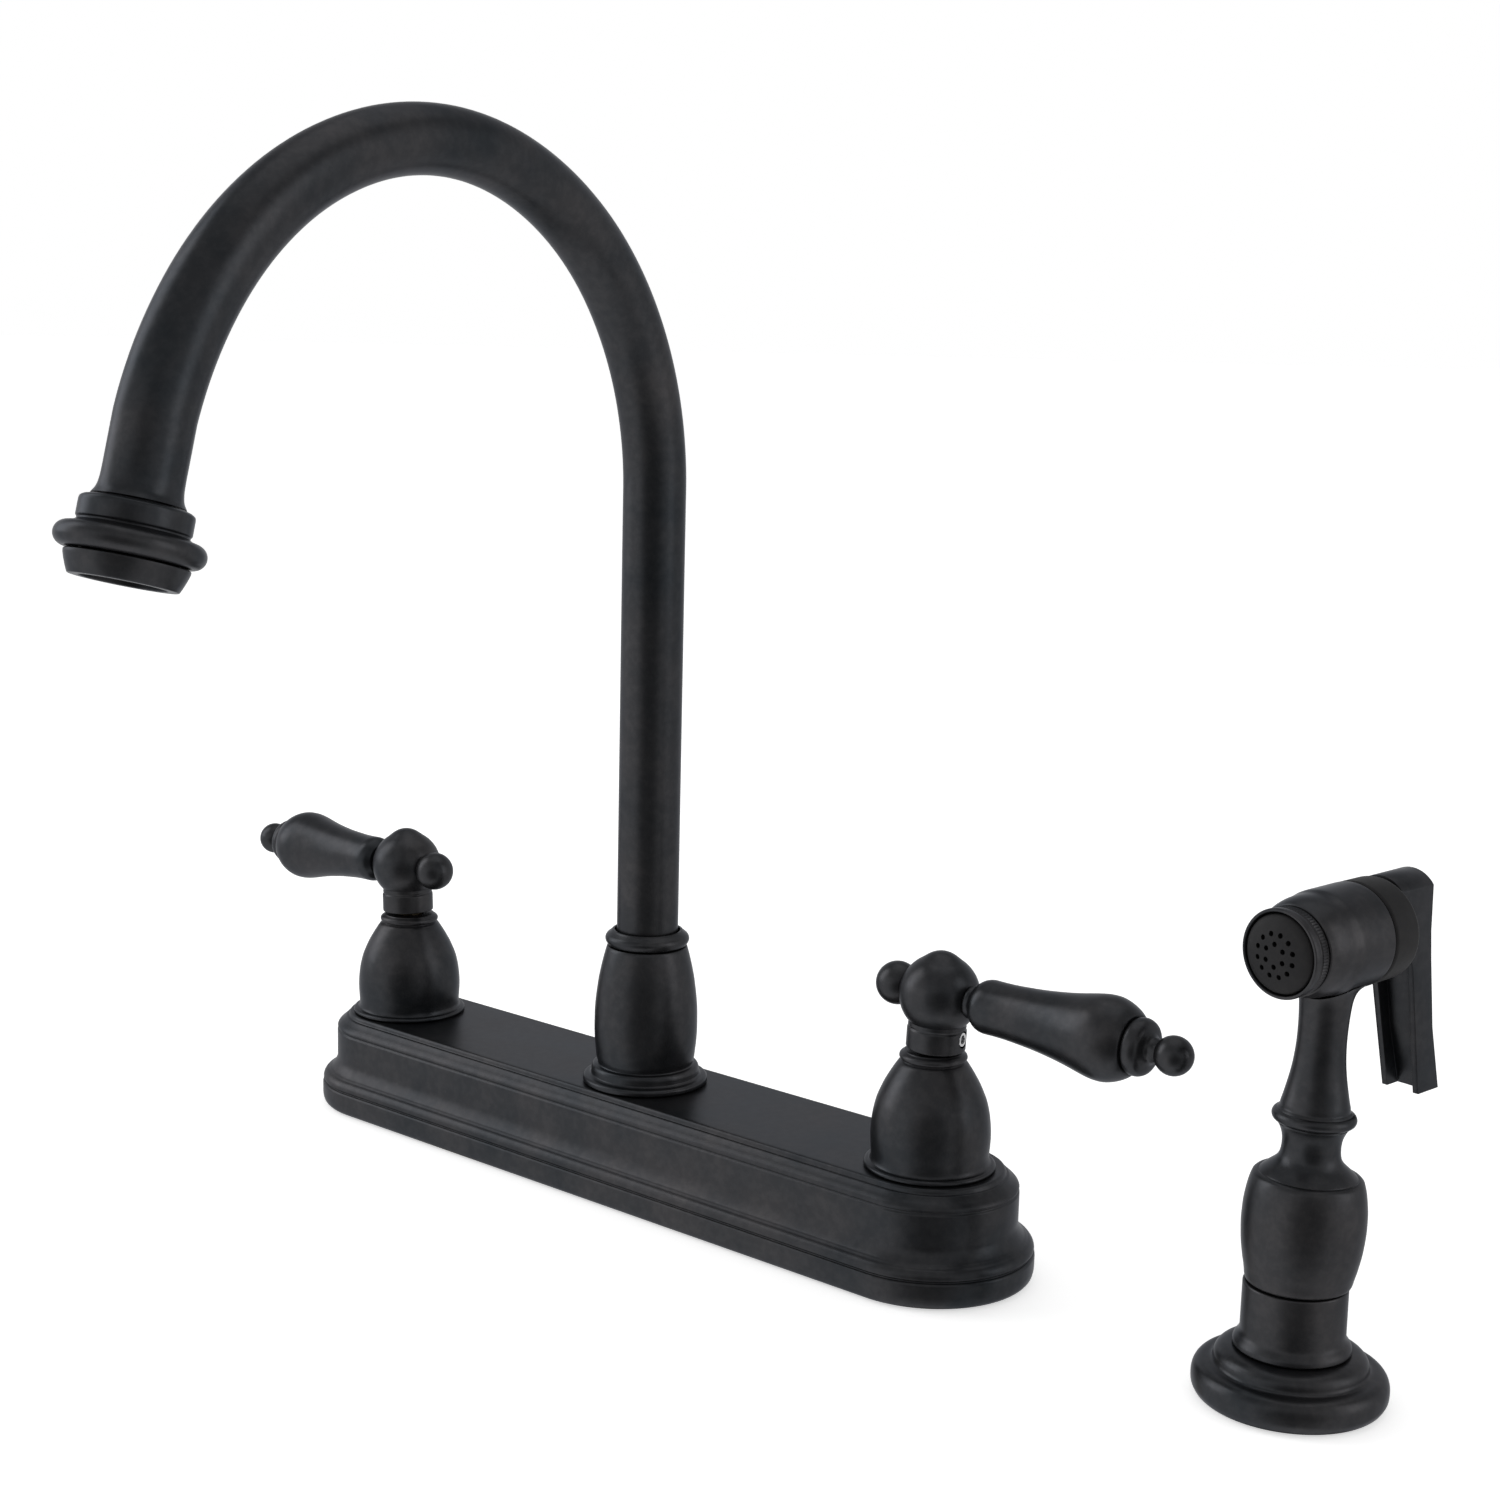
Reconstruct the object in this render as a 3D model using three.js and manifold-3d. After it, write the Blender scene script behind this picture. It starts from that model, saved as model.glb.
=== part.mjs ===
// Two handle kitchen faucet on a long base plate, with a gooseneck spout and a side sprayer.
// Millimetres, +Z up. The origin is on the deck plane under the spout column, +X runs along the base
// to the right handle and +Y points to the back of the sink. The spout points to -Y.
import * as THREE from "three";
import { mergeVertices } from "three/addons/utils/BufferGeometryUtils.js";
import Module from "manifold-3d";

const wasm = await Module();
wasm.setup();

// ---- driving dimensions ----
const GAP = 0.3; // between pieces that touch
const CENTRES = 101.6; // column to each handle axis
const BASE_R = 27.6; // end radius of the base plate
const BASE_Y = 1.0; // the plate sits this far behind the handle axes
const BASE_TOP = 28.9;
const TOWER_R = 10.8;
const TOWER_TOP = 44;
const CARTRIDGE_R = 7.0;
const STEM_R = 4.0;
const BALL_Z = 75.1; // centre of a handle's hub ball
const BALL_R = 10.45;
const HUB_TILT = 2.74; // the hub leans outward about a point inside the bell, degrees
const HUB_FOOT = 49;
const BALL_OUT = 1.25; // so its ball sits this far outward of the handle axis
const TUBE_R = 8.67; // spout tube
const TUBE_IN = 7.5;
const TUBE_START = 54.1;
const ARC_Z = 197.8; // where the spout's arc starts
const ARC_R = 86.6; // its centre line radius
const ARC_END = THREE.MathUtils.degToRad(165.3);
const SWIVEL = THREE.MathUtils.degToRad(3.87);
const SPRAY_X = 207.99; // axis of the sprayer's holder
const SPRAY_Y = -0.89;
const WAND_OUT = 0.45; // the sprayer rests this far to one side in its holder
const SEAM_Z = 27.9; // top of the holder
const LEAN = 0.0325; // how far the sprayer leans out of its holder, radians
const LEAN_DIR = [0.757, 0.653];
const HEAD = new THREE.Vector3(210.25, 1.07, 109.2); // centre of the sprayer head
const HEAD_U = new THREE.Vector3(-0.16, -0.986, -0.033).normalize(); // the way it sprays
const CROWN_H = 4.6; // axis of the trigger's arched top, above the head's axis
const PIVOT_T = -22.5; // trigger pin, along the head's axis
const PIVOT_H = 6.5; // and above it

const deg = THREE.MathUtils.degToRad;
const V3 = (x, y, z) => new THREE.Vector3(x, y, z);

// ---- solids ----
function solid(geometry) {
  const g = geometry.clone();
  for (const n of ["normal", "uv", "uv1"]) if (g.getAttribute(n)) g.deleteAttribute(n);
  const m = mergeVertices(g, 1e-4);
  const src = m.index.array;
  const tri = [];
  for (let i = 0; i < src.length; i += 3)
    if (src[i] !== src[i + 1] && src[i + 1] !== src[i + 2] && src[i] !== src[i + 2])
      tri.push(src[i], src[i + 1], src[i + 2]);
  return new wasm.Manifold(
    new wasm.Mesh({
      numProp: 3,
      vertProperties: new Float32Array(m.attributes.position.array),
      triVerts: new Uint32Array(tri),
    }),
  );
}
const add = (...s) => s.reduce((a, b) => a.add(b));
const cut = (a, ...s) => s.reduce((x, b) => x.subtract(b), a);

// Facets round a turned piece: a plain hexagon or less stays as it is.
const facets = (seg) => (seg <= 6 ? seg : Math.max(8, 2 * Math.round(seg * 0.28)));
// A profile of [r, z] turned about +Z. An open profile ends on the axis, any other is closed on itself.
function turned(profile, seg = 32) {
  const p = profile.map(([r, z]) => new THREE.Vector2(r, z));
  const first = p[0];
  const last = p[p.length - 1];
  if (!(first.x < 1e-6 && last.x < 1e-6)) p.push(first.clone());
  let area = 0;
  for (let i = 0; i < p.length; i++) {
    const a = p[i];
    const b = p[(i + 1) % p.length];
    area += a.x * b.y - b.x * a.y;
  }
  if (area < 0) p.reverse();
  return new THREE.LatheGeometry(p, facets(seg)).rotateX(Math.PI / 2);
}
const round = (profile, seg) => solid(turned(profile, seg));
// A plain cylinder about +Z from z0 to z1.
const rod = (r, z0, z1, seg = 24) =>
  solid(
    new THREE.CylinderGeometry(r, r, z1 - z0, facets(seg))
      .rotateX(Math.PI / 2)
      .translate(0, 0, (z0 + z1) / 2),
  );
const block = (x0, x1, y0, y1, z0, z1) =>
  solid(
    new THREE.BoxGeometry(x1 - x0, y1 - y0, z1 - z0).translate(
      (x0 + x1) / 2,
      (y0 + y1) / 2,
      (z0 + z1) / 2,
    ),
  );
// The matrix that takes +Z to dir and the origin to a point. x, when given, is where +X goes.
function frame(origin, dir, x) {
  const m = new THREE.Matrix4();
  if (x) {
    const z = dir.clone().normalize();
    const y = z.clone().cross(x).normalize();
    m.makeBasis(y.clone().cross(z).normalize(), y, z);
  } else m.makeRotationFromQuaternion(new THREE.Quaternion().setFromUnitVectors(V3(0, 0, 1), dir.clone().normalize()));
  return m.setPosition(origin);
}
const at = (s, m) => s.transform(m.elements);
const shift = (s, x, y, z) => s.translate([x, y, z]);

const root = new THREE.Group();
function part(name, s, finish) {
  const mesh = s.getMesh();
  const g = new THREE.BufferGeometry();
  g.setAttribute("position", new THREE.BufferAttribute(new Float32Array(mesh.vertProperties), 3));
  g.setIndex(new THREE.BufferAttribute(new Uint32Array(mesh.triVerts), 1));
  g.computeVertexNormals();
  const [color, roughness, metalness] = finish;
  const node = new THREE.Mesh(
    g,
    new THREE.MeshStandardMaterial({ color: new THREE.Color(color), roughness, metalness }),
  );
  node.name = name;
  root.add(node);
}
const BRONZE = ["#2b2523", 0.34, 0.9];
const BRONZE_DARK = ["#1d1a19", 0.5, 0.75];
const BRASS = ["#b08d4a", 0.35, 1.0];
const STEEL = ["#b9bbbd", 0.28, 1.0];
const RUBBER = ["#161616", 0.8, 0.0];
const FOAM = ["#3a3a3a", 0.95, 0.0];
const POLYMER = ["#d8d6cf", 0.5, 0.0];
const MESH_GREY = ["#313233", 0.45, 0.3];

// ---- base plate ----
// A body with two round ends: a turned profile at each end and the same section run between them.
function longPlate(profile, seg) {
  const end = round(profile, seg);
  const pts = profile
    .filter(([r]) => r > 1e-6)
    .map(([r, z]) => [r, z]);
  const shape = new THREE.Shape();
  const left = profile.map(([r, z]) => [-r, z]).filter(([r]) => r < -1e-6).reverse();
  shape.moveTo(pts[0][0], pts[0][1]);
  for (const [x, y] of pts.slice(1)) shape.lineTo(x, y);
  for (const [x, y] of left) shape.lineTo(x, y);
  shape.closePath();
  // the section lies in the Y-Z plane and runs along X
  const bar = new THREE.ExtrudeGeometry(shape, {
    depth: 2 * CENTRES,
    steps: 1,
    bevelEnabled: false,
  })
    .translate(0, 0, -CENTRES)
    .applyMatrix4(new THREE.Matrix4().makeBasis(V3(0, 1, 0), V3(0, 0, 1), V3(1, 0, 0)));
  return add(shift(end, CENTRES, 0, 0), shift(end, -CENTRES, 0, 0), solid(bar));
}
const r0 = BASE_R;
const baseOuter = longPlate(
  [
    [0, 0], [r0 - 1.2, 0], [r0 - 0.2, 1.4], [r0, 2.6], [r0, 6.9], [r0 - 0.4, 7.2], [r0 - 0.3, 8.2],
    [r0 - 1.0, 9.9], [r0 - 2.2, 10.6], [r0 - 3.3, 11.9], [r0 - 4.2, 13.2], [r0 - 4.6, 14.4],
    [r0 - 4.6, 24.2], [r0 - 5.5, 25.5], [r0 - 6.7, 26.7], [r0 - 8.0, 27.6], [r0 - 8.4, 28.5],
    [r0 - 9.0, BASE_TOP], [0, BASE_TOP],
  ],
  42,
);
const baseInner = longPlate(
  [[0, -1], [r0 - 3, -1], [r0 - 3, 6.5], [r0 - 7.4, 12.5], [r0 - 7.4, 21.5], [r0 - 10.8, 25.4], [0, 25.4]],
  42,
);
part(
  "base_cover",
  cut(
    shift(baseOuter, 0, BASE_Y, 0),
    shift(baseInner, 0, BASE_Y, 0),
    ...[-CENTRES, 0, CENTRES].map((x) => shift(rod(TOWER_R + 0.7, 20, 32, 32), x, 0, 0)),
  ),
  BRONZE,
);
part(
  "base_gasket",
  cut(
    shift(longPlate([[0, 0], [r0 - 3.4, 0], [r0 - 3.4, 2], [0, 2]], 24), 0, BASE_Y, 0),
    ...[-CENTRES, CENTRES].map((x) => shift(rod(10.9, -1, 3, 20), x, 0, 0)),
    rod(7.2, -1, 3, 16),
  ),
  FOAM,
);

// ---- valve body under the base plate ----
const PIPE_Z = 17;
const pipeAlongX = (r, x0, x1, seg) => at(rod(r, x0, x1, seg), frame(V3(0, 0, PIPE_Z), V3(1, 0, 0)));
let casting = pipeAlongX(7, -CENTRES, CENTRES, 20);
for (const x of [-CENTRES, CENTRES]) casting = add(casting, shift(rod(TOWER_R, 2.3, TOWER_TOP, 28), x, 0, 0));
casting = add(casting, rod(TOWER_R, 2.3, 52, 28));
casting = cut(
  casting,
  pipeAlongX(4.5, -CENTRES, CENTRES, 16),
  ...[-CENTRES, CENTRES].map((x) =>
    shift(
      round([[0, 1], [7.3, 1], [7.3, 9.3], [4.5, 9.3], [4.5, 12], [7.3, 12], [7.3, 50], [0, 50]], 24),
      x, 0, 0,
    ),
  ),
  round([[0, 1], [5, 1], [5, 8.3], [3, 8.3], [3, 10.5], [5.3, 10.5], [5.3, 24], [8.4, 24], [8.4, 60], [0, 60]], 32),
);
part("waterway_body", casting, BRASS);

const sides = [["left", -1], ["right", 1]];
for (const [side, sx] of sides) {
  const x = sx * CENTRES;
  part(
    "supply_shank_" + side,
    shift(
      round([[6, -50], [10.4, -50], [10.4, 2.0], [7.0, 2.0], [7.0, 9.0], [4.5, 9.0], [4.5, -12], [6, -14]], 20),
      x, 0, 0,
    ),
    BRASS,
  );
  part("shank_washer_" + side, shift(round([[11.1, -11.8], [17, -11.8], [17, -10.2], [11.1, -10.2]], 20), x, 0, 0), STEEL);
  // a plastic nut with two wings, spun up under the washer
  part(
    "shank_nut_" + side,
    shift(
      cut(
        add(rod(14.5, -22, -12.1, 20), block(-22, 22, -2.5, 2.5, -22, -14)),
        rod(11.1, -30, 0, 20),
      ),
      x, 0, 0,
    ),
    POLYMER,
  );
  part(
    "cartridge_" + side,
    shift(
      cut(
        rod(CARTRIDGE_R, 12.3, 50.5, 20),
        rod(4.3, 36, 60, 20),
        rod(3.2, 10, 21, 12),
        at(rod(2.8, 0, 12, 12), frame(V3(0, 0, PIPE_Z), V3(-sx, 0, 0))),
      ),
      x, 0, 0,
    ),
    POLYMER,
  );
  part(
    "cartridge_nut_" + side,
    shift(cut(rod(10.9, TOWER_TOP + GAP, 49, 6), rod(CARTRIDGE_R + 0.5, 40, 60, 20)), x, 0, 0),
    BRASS,
  );
  part(
    "bell_" + side,
    shift(
      round(
        [
          [13.2, 29.2], [17.15, 29.2], [17.15, 30.1], [15.5, 30.8], [15.35, 34], [15.6, 38], [14.75, 45],
          [13.4, 49], [11.4, 53], [9.3, 56.5], [8.3, 57.3], [8.8, 58.2], [8.5, 59.5], [7.6, 60], [4.5, 60],
          [4.5, 57.2], [9.0, 53.8], [11.6, 49.5], [13.2, 43],
        ],
        36,
      ),
      x, 0, 0,
    ),
    BRONZE,
  );
}

// ---- handles ----
const arc = (cx, r, a0, a1, n) =>
  Array.from({ length: n + 1 }, (_, i) => {
    const a = deg(a0 + ((a1 - a0) * i) / n);
    return [r * Math.cos(a), cx + r * Math.sin(a)];
  });
const handleDir = (azimuth, tilt) =>
  V3(Math.cos(deg(tilt)) * Math.cos(deg(azimuth)), Math.cos(deg(tilt)) * Math.sin(deg(azimuth)), Math.sin(deg(tilt)));
const handles = [
  ["left", -CENTRES, handleDir(177, -2.3), 177, 74.75],
  ["right", CENTRES, handleDir(-0.8, -0.8), -0.8, 75.16],
];
for (const [side, x, dir, azimuth, leverZ] of handles) {
  const lever = frame(V3(x, 0, leverZ), dir);
  const hubAt = frame(V3(x, 0, HUB_FOOT), handleDir(azimuth, 90 - HUB_TILT));
  part(
    "valve_stem_" + side,
    shift(rod(STEM_R, 36.4, 70.4, 20), x, 0, 0),
    BRASS,
  );
  const screwDir = handleDir(azimuth + 11, 0);
  const hub = cut(
    at(
      round(
        [
          [0, 60.8], [7.71, 60.8], [7.71, 66.6], ...arc(BALL_Z, BALL_R, -43, 60, 7), [3.0, BALL_Z + 10.55], [1.2, BALL_Z + 11.2], [0, BALL_Z + 11.35],
        ].map(([r, z]) => [r, z - HUB_FOOT]),
        32,
      ),
      hubAt,
    ),
    shift(rod(4.4, 50, 71, 20), x, 0, 0),
    at(rod(2.7, 5.0, 15, 16), lever),
    at(rod(2.2, -14, -5.0, 16), lever),
    at(rod(2.2, 3, 10, 12), frame(V3(x, 0, 64), screwDir)),
  );
  part("handle_hub_" + side, hub, BRONZE);
  part(
    "set_screw_" + side,
    at(cut(rod(1.9, 4.7, 8.2, 12), rod(1.1, 6.8, 9, 6)), frame(V3(x, 0, 64), screwDir)),
    STEEL,
  );
  part(
    "handle_finial_" + side,
    at(
      cut(
        add(
          round([...arc(-12.43, 5.7, -90, 90, 10)].map(([r, z], i, a) => [i === 0 || i === a.length - 1 ? 0 : r, z]), 24),
          rod(1.9, -12.43, -5.4, 12),
        ),
        cut(
          shift(solid(new THREE.SphereGeometry(BALL_R + GAP + 0.2, 20, 14)), 0, 0, BALL_OUT),
          rod(1.9, -12.43, -4, 12),
        ),
      ),
      lever,
    ),
    BRONZE,
  );
  part("handle_neck_ring_" + side, at(round([[2.7, 11.75], [3.4, 11.5], [4.2, 11.3], [4.4, 11.9], [4.4, 12.7], [4.0, 13.2], [2.7, 13.2]], 20), lever), BRONZE);
  part(
    "handle_grip_" + side,
    at(
      round(
        [
          [0, 5.6], [2.3, 5.6], [2.3, 13.5], [5.2, 13.5], [6.9, 16.2], [6.95, 20], [7.25, 28], [8.05, 36],
          [9.55, 45], [10.6, 50.8], [10.5, 54.2], [8.85, 58.4], [7.7, 60], [2.4, 60], [2.4, 54], [0, 54],
        ],
        28,
      ),
      lever,
    ),
    BRONZE,
  );
  part(
    "handle_tip_" + side,
    at(
      round(
        [
          [0, 54.4], [2.1, 54.4], [2.1, 60.3], [6.6, 60.3], [7.2, 61.2], [7.2, 62.5], [6.6, 63.7], [5.6, 64.3],
          [3.3, 65], [3.0, 66], ...arc(71.1, 4.9, -51, 90, 6).slice(0, -1), [0, 71.1 + 4.9],
        ],
        24,
      ),
      lever,
    ),
    BRONZE,
  );
}

// ---- spout ----
part(
  "spout_post",
  round(
    [
      [13.2, 29.2], [17.77, 29.2], [17.77, 30.8], [15.4, 31.3], [15.4, 33.9], [13.6, 34.5], [14.2, 38.3],
      [14.66, 45.2], [14.2, 54.7], [12.6, 64], [11.36, 68.7], [9.3, 68.7], [9.3, 62], [11.7, 55], [11.7, 34],
      [13.2, 32],
    ],
    36,
  ),
  BRONZE,
);
part(
  "spout_ring",
  round([[9.3, 69.1], [11.2, 69.1], [12.0, 70.6], [11.4, 72.2], [10.2, 73.4], [9.3, 73.4]], 32),
  BRONZE,
);

// How far the bend runs outside a true circle at an angle, as [degrees, mm].
const BEND = [[0, 0.05], [15, 0], [30, 0.15], [45, 0.42], [60, 0.48], [80, 0.48], [90, 0.3], [100, 0.03], [110, -0.28], [120, -0.45], [130, -0.5], [140, -0.4], [150, -0.1], [160, 0.6], [165.3, 1.1]];
function bend(a) {
  const d = THREE.MathUtils.radToDeg(a);
  const i = Math.max(1, Math.min(BEND.length - 1, BEND.findIndex(([x]) => x >= d - 1e-6)));
  const [x0, y0] = BEND[i - 1];
  const [x1, y1] = BEND[i];
  return y0 + ((y1 - y0) * Math.min(d - x0, x1 - x0)) / (x1 - x0);
}
const MOUTH = THREE.MathUtils.degToRad(164.9); // the way the mouth points

class Gooseneck extends THREE.Curve {
  constructor(tail, arcSteps) {
    super();
    this.rows = arcSteps + 2;
    this.arcSteps = arcSteps;
    this.tail = tail;
  }
  spot(t) {
    const k = t * this.rows; // one straight, the arc, one straight
    const n = this.arcSteps;
    const on = (a) => [-ARC_R + (ARC_R + bend(a)) * Math.cos(a), ARC_Z + (ARC_R + bend(a)) * Math.sin(a)];
    let y, z;
    if (k <= 1) [y, z] = [0, TUBE_START + (ARC_Z - TUBE_START) * k];
    else if (k <= n + 1) [y, z] = on(((k - 1) / n) * ARC_END);
    else {
      const [ey, ez] = on(ARC_END);
      const run = this.tail * (k - n - 1);
      [y, z] = [ey - Math.sin(MOUTH) * run, ez + Math.cos(MOUTH) * run];
    }
    return V3(-Math.sin(SWIVEL) * y, Math.cos(SWIVEL) * y, z);
  }
  getPoint(t) {
    return this.spot(t);
  }
  getPointAt(u) {
    return this.spot(u);
  }
  getTangent(t) {
    const k = Math.min(Math.max(t * this.rows, 0), this.rows);
    const n = this.arcSteps;
    const a = k > n + 0.999 ? MOUTH : (Math.max(k - 1, 0) / n) * ARC_END;
    const y = -Math.sin(a);
    return V3(-Math.sin(SWIVEL) * y, Math.cos(SWIVEL) * y, Math.cos(a)).normalize();
  }
  getTangentAt(u) {
    return this.getTangent(u);
  }
  getSpacedPoints(n) {
    return Array.from({ length: n + 1 }, (_, i) => this.spot(i / n));
  }
}
const ringShape = (r, rIn, seg) => {
  const s = new THREE.Shape();
  const h = new THREE.Path();
  for (let i = 0; i < seg; i++) {
    const a = (2 * Math.PI * i) / seg;
    s[i ? "lineTo" : "moveTo"](r * Math.cos(a), r * Math.sin(a));
  }
  s.closePath();
  const inSeg = Math.round(seg * 0.7);
  for (let i = 0; i < inSeg; i++) {
    const a = (-2 * Math.PI * i) / inSeg;
    h[i ? "lineTo" : "moveTo"](rIn * Math.cos(a), rIn * Math.sin(a));
  }
  h.closePath();
  s.holes.push(h);
  return s;
};
const ARC_STEPS = 20;
const neck = new Gooseneck(8, ARC_STEPS);
const neckTube = solid(
  new THREE.ExtrudeGeometry(ringShape(TUBE_R * 1.01, TUBE_IN, 16), {
    steps: ARC_STEPS + 2,
    bevelEnabled: false,
    extrudePath: neck,
  }),
);
const spotEnd = new Gooseneck(0.3, ARC_STEPS).spot(1);
const spoutDir = new Gooseneck(1, ARC_STEPS).getTangent(1);
const nozzle = frame(spotEnd, spoutDir, V3(Math.cos(SWIVEL), Math.sin(SWIVEL), 0));
part(
  "spout_tube",
  add(neckTube, at(round([[TUBE_IN, 7.2], [8.9, 7.2], [9.1, 14], [9.6, 17.2], [10.5, 18.7], [TUBE_IN, 18.7]], 24), nozzle)),
  BRONZE,
);
part(
  "swivel_adapter",
  round(
    [
      [4.4, 25], [8.0, 25], [8.0, 31.5], [6.6, 31.5], [6.6, 34.5], [8.0, 34.5], [8.0, 42.5], [6.6, 42.5],
      [6.6, 45.5], [8.0, 45.5], [8.0, 51.9], [7.2, 51.9], [7.2, 66], [5.2, 66], [5.2, 28], [4.4, 27],
    ],
    20,
  ),
  BRASS,
);
for (const [name, z] of [["swivel_seal_lower", 33], ["swivel_seal_upper", 44]])
  part(name, round([[6.8, z - 0.6], [7.2, z - 1.1], [7.8, z - 0.9], [8.15, z], [7.8, z + 0.9], [7.2, z + 1.1], [6.8, z + 0.6]], 20), RUBBER);
part("swivel_washer", round([[7.6, 52.3], [10.7, 52.3], [10.7, 53.8], [7.6, 53.8]], 20), POLYMER);
part(
  "nozzle_collar",
  at(
    round(
      [
        [6.0, 9.5], [7.1, 9.5], [7.1, 19.1], [10.9, 19.1], [12.6, 20.1], [12.6, 24.2], [13.9, 25.4],
        [15.9, 26.0], [16.75, 28.3], [15.9, 30.5], [13.9, 31.2],
        [10.5, 31.2], [10.5, 26], [6.0, 26],
      ],
      32,
    ),
    nozzle,
  ),
  BRONZE,
);
part(
  "aerator_housing",
  at(
    round(
      [
        [8.0, 27.9], [10.1, 27.9], [10.1, 31.5], [13.8, 31.5], [13.7, 32.5], [12.9, 34.9], [12.1, 36.7],
        [9.6, 36.7], [9.6, 29.0], [8.0, 29.0],
      ],
      32,
    ),
    nozzle,
  ),
  BRONZE,
);
let screen = rod(9.2, 29.3, 35.0, 20);
for (const [a, half] of [[-6, 4.5], [-3, 6.5], [0, 7.2], [3, 6.5], [6, 4.5]])
  screen = cut(screen, block(a - 0.7, a + 0.7, -half, half, 20, 40));
part("aerator_insert", at(screen, nozzle), MESH_GREY);
part("aerator_gasket", at(round([[6.6, 26.3], [10.1, 26.3], [10.1, 27.6], [6.6, 27.6]], 20), nozzle), RUBBER);
part("diverter_poppet", round([[0, 10.8], [3.6, 10.8], [4.9, 12.2], [4.9, 14.5], [3.4, 15.4], [3.4, 19], [4.9, 20], [4.9, 22.2], [0, 22.2]], 16), POLYMER);
part("sprayer_outlet_nipple", round([[2.5, -30], [6.6, -30], [6.6, 2.0], [4.7, 2.0], [4.7, 8.0], [2.5, 8.0]], 16), BRASS);

// ---- sprayer holder ----
const sprayAt = (s) => shift(s, SPRAY_X, SPRAY_Y, 0);
part(
  "sprayer_flange",
  sprayAt(
    round(
      [
        [11.9, 0], [21.5, 0], [22.8, 2.0], [22.8, 4.5], [21.9, 6.6], [20, 7.5], [17.8, 7.5], [17.8, 9.4],
        [16.9, 10.8], [15.2, 11.6], [13.7, 11.85], [11.9, 11.85],
      ],
      36,
    ),
  ),
  BRONZE,
);
part(
  "sprayer_holder",
  sprayAt(round([[9.8, -46], [11.5, -46], [11.5, 12.2], [13.7, 12.2], [13.3, 14.2], [12.1, 15.7], [12.1, SEAM_Z - 0.2], [9.8, SEAM_Z - 0.2]], 32)),
  BRONZE,
);
part("sprayer_washer", sprayAt(round([[12.3, -11.8], [19, -11.8], [19, -10.2], [12.3, -10.2]], 20)), STEEL);
part(
  "sprayer_nut",
  sprayAt(cut(add(rod(15.5, -21, -12.1, 20), block(-22, 22, -2.5, 2.5, -21, -14)), rod(12.3, -30, 0, 24))),
  POLYMER,
);

// ---- sprayer ----
const wandDir = V3(LEAN * LEAN_DIR[0], LEAN * LEAN_DIR[1], 1).normalize();
const wandAt = frame(V3(SPRAY_X + WAND_OUT * LEAN_DIR[0], SPRAY_Y + WAND_OUT * LEAN_DIR[1], SEAM_Z), wandDir);
const headAt = frame(HEAD, HEAD_U, V3(0.987, -0.16, 0)); // +Z is the spray axis, +X goes across
const headCut = at(rod(12.5, -9.5, 14.2, 36), headAt);
part(
  "wand_body",
  cut(
    at(
      round(
        [
          [3.0, 84], [3.0, -6], [6.6, -6.6], [6.6, -14], [8.6, -14], [8.6, 0.75], [12.1, 0.75], [12.65, 2.9], [13.46, 6.6],
          [14.2, 14.4], [13.5, 22.2], [12.5, 25.3], [9.4, 27.8], [7.2, 30.0], [6.7, 32.6], [7.2, 36.1],
          [9.5, 39.9], [9.1, 41.7], [7.5, 43.6], [5.9, 52.5], [5.6, 59], [6.2, 68.3], [8.4, 72.5], [8.4, 84],
        ],
        28,
      ),
      wandAt,
    ),
    headCut,
  ),
  BRONZE,
);
part(
  "wand_hose_connector",
  at(add(cut(rod(7.4, -26, -14.3, 6), rod(2.4, -30, 0, 12)), cut(rod(6.2, -14.5, -7, 16), rod(2.4, -30, 0, 12))), wandAt),
  BRASS,
);
// the head: a barrel with a web that carries the valve seat
part(
  "wand_head",
  at(
    cut(
      round(
        [
          [8.6, -7.6], [11.8, -7.6], [12.2, -7.1], [12.2, 4.6], [11.85, 6.4], [11.6, 9.2], [11.2, 11.6], [10.4, 13.7], [8.6, 13.7],
          [8.6, 0], [2.5, 0], [2.5, -3], [8.6, -3],
        ],
        36,
      ),
      // the way up from the grip
      at(rod(2.6, -14, -4, 12), new THREE.Matrix4().makeRotationX(-Math.PI / 2).setPosition(0, 0, 3.6)),
    ),
    headAt,
  ),
  BRONZE,
);
let knurl = round([[8.4, 14.0], [10.3, 14.0], [10.3, 16.2], [9.9, 16.6], [10.31, 17.4], [10.31, 18.8], [9.4, 18.8], [9.4, 16.6], [8.4, 16.2]], 36);
part("face_ring", at(knurl, headAt), BRONZE);
let face = round([[0, 14.0], [4.2, 14.0], [8.1, 14.0], [8.1, 16.6], [9.1, 17.0], [9.1, 18.2], [7.8, 19.4], [5.5, 20.0], [3, 20.4], [0, 20.55]], 24);
for (const [n, r] of [[12, 4.9], [6, 2.6]])
  for (let i = 0; i < n; i++) {
    const a = (2 * Math.PI * (i + 0.5)) / n;
    face = cut(face, shift(rod(0.62, 13, 22, 5), r * Math.cos(a), r * Math.sin(a), 0));
  }
part("spray_face", at(face, headAt), BRONZE_DARK);
// the cap at the back, with the ear that carries the trigger
let cap = round([[2.5, -17.2], [11.7, -17.2], [12.14, -16.7], [12.14, -8.4], [11.7, -7.9], [8.2, -7.9], [8.2, -4.0], [2.5, -4.0]], 36);
const across = (r, half, seg) => at(rod(r, -half, half, seg), frame(V3(0, PIVOT_H, PIVOT_T), V3(1, 0, 0)));
const ear = add(block(-4.1, 4.1, 3.0, 9.7, PIVOT_T, -17.0), across(3.2, 4.1, 20)).intersect(
  add(at(rod(5.4, -40, 0, 40), frame(V3(0, CROWN_H, 0), V3(0, 0, 1))), block(-9, 9, -9, CROWN_H, -40, 0)),
);
cap = cut(add(cap, ear), across(1.5, 9, 12));
part("head_rear_cap", at(cap, headAt), BRONZE_DARK);
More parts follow.
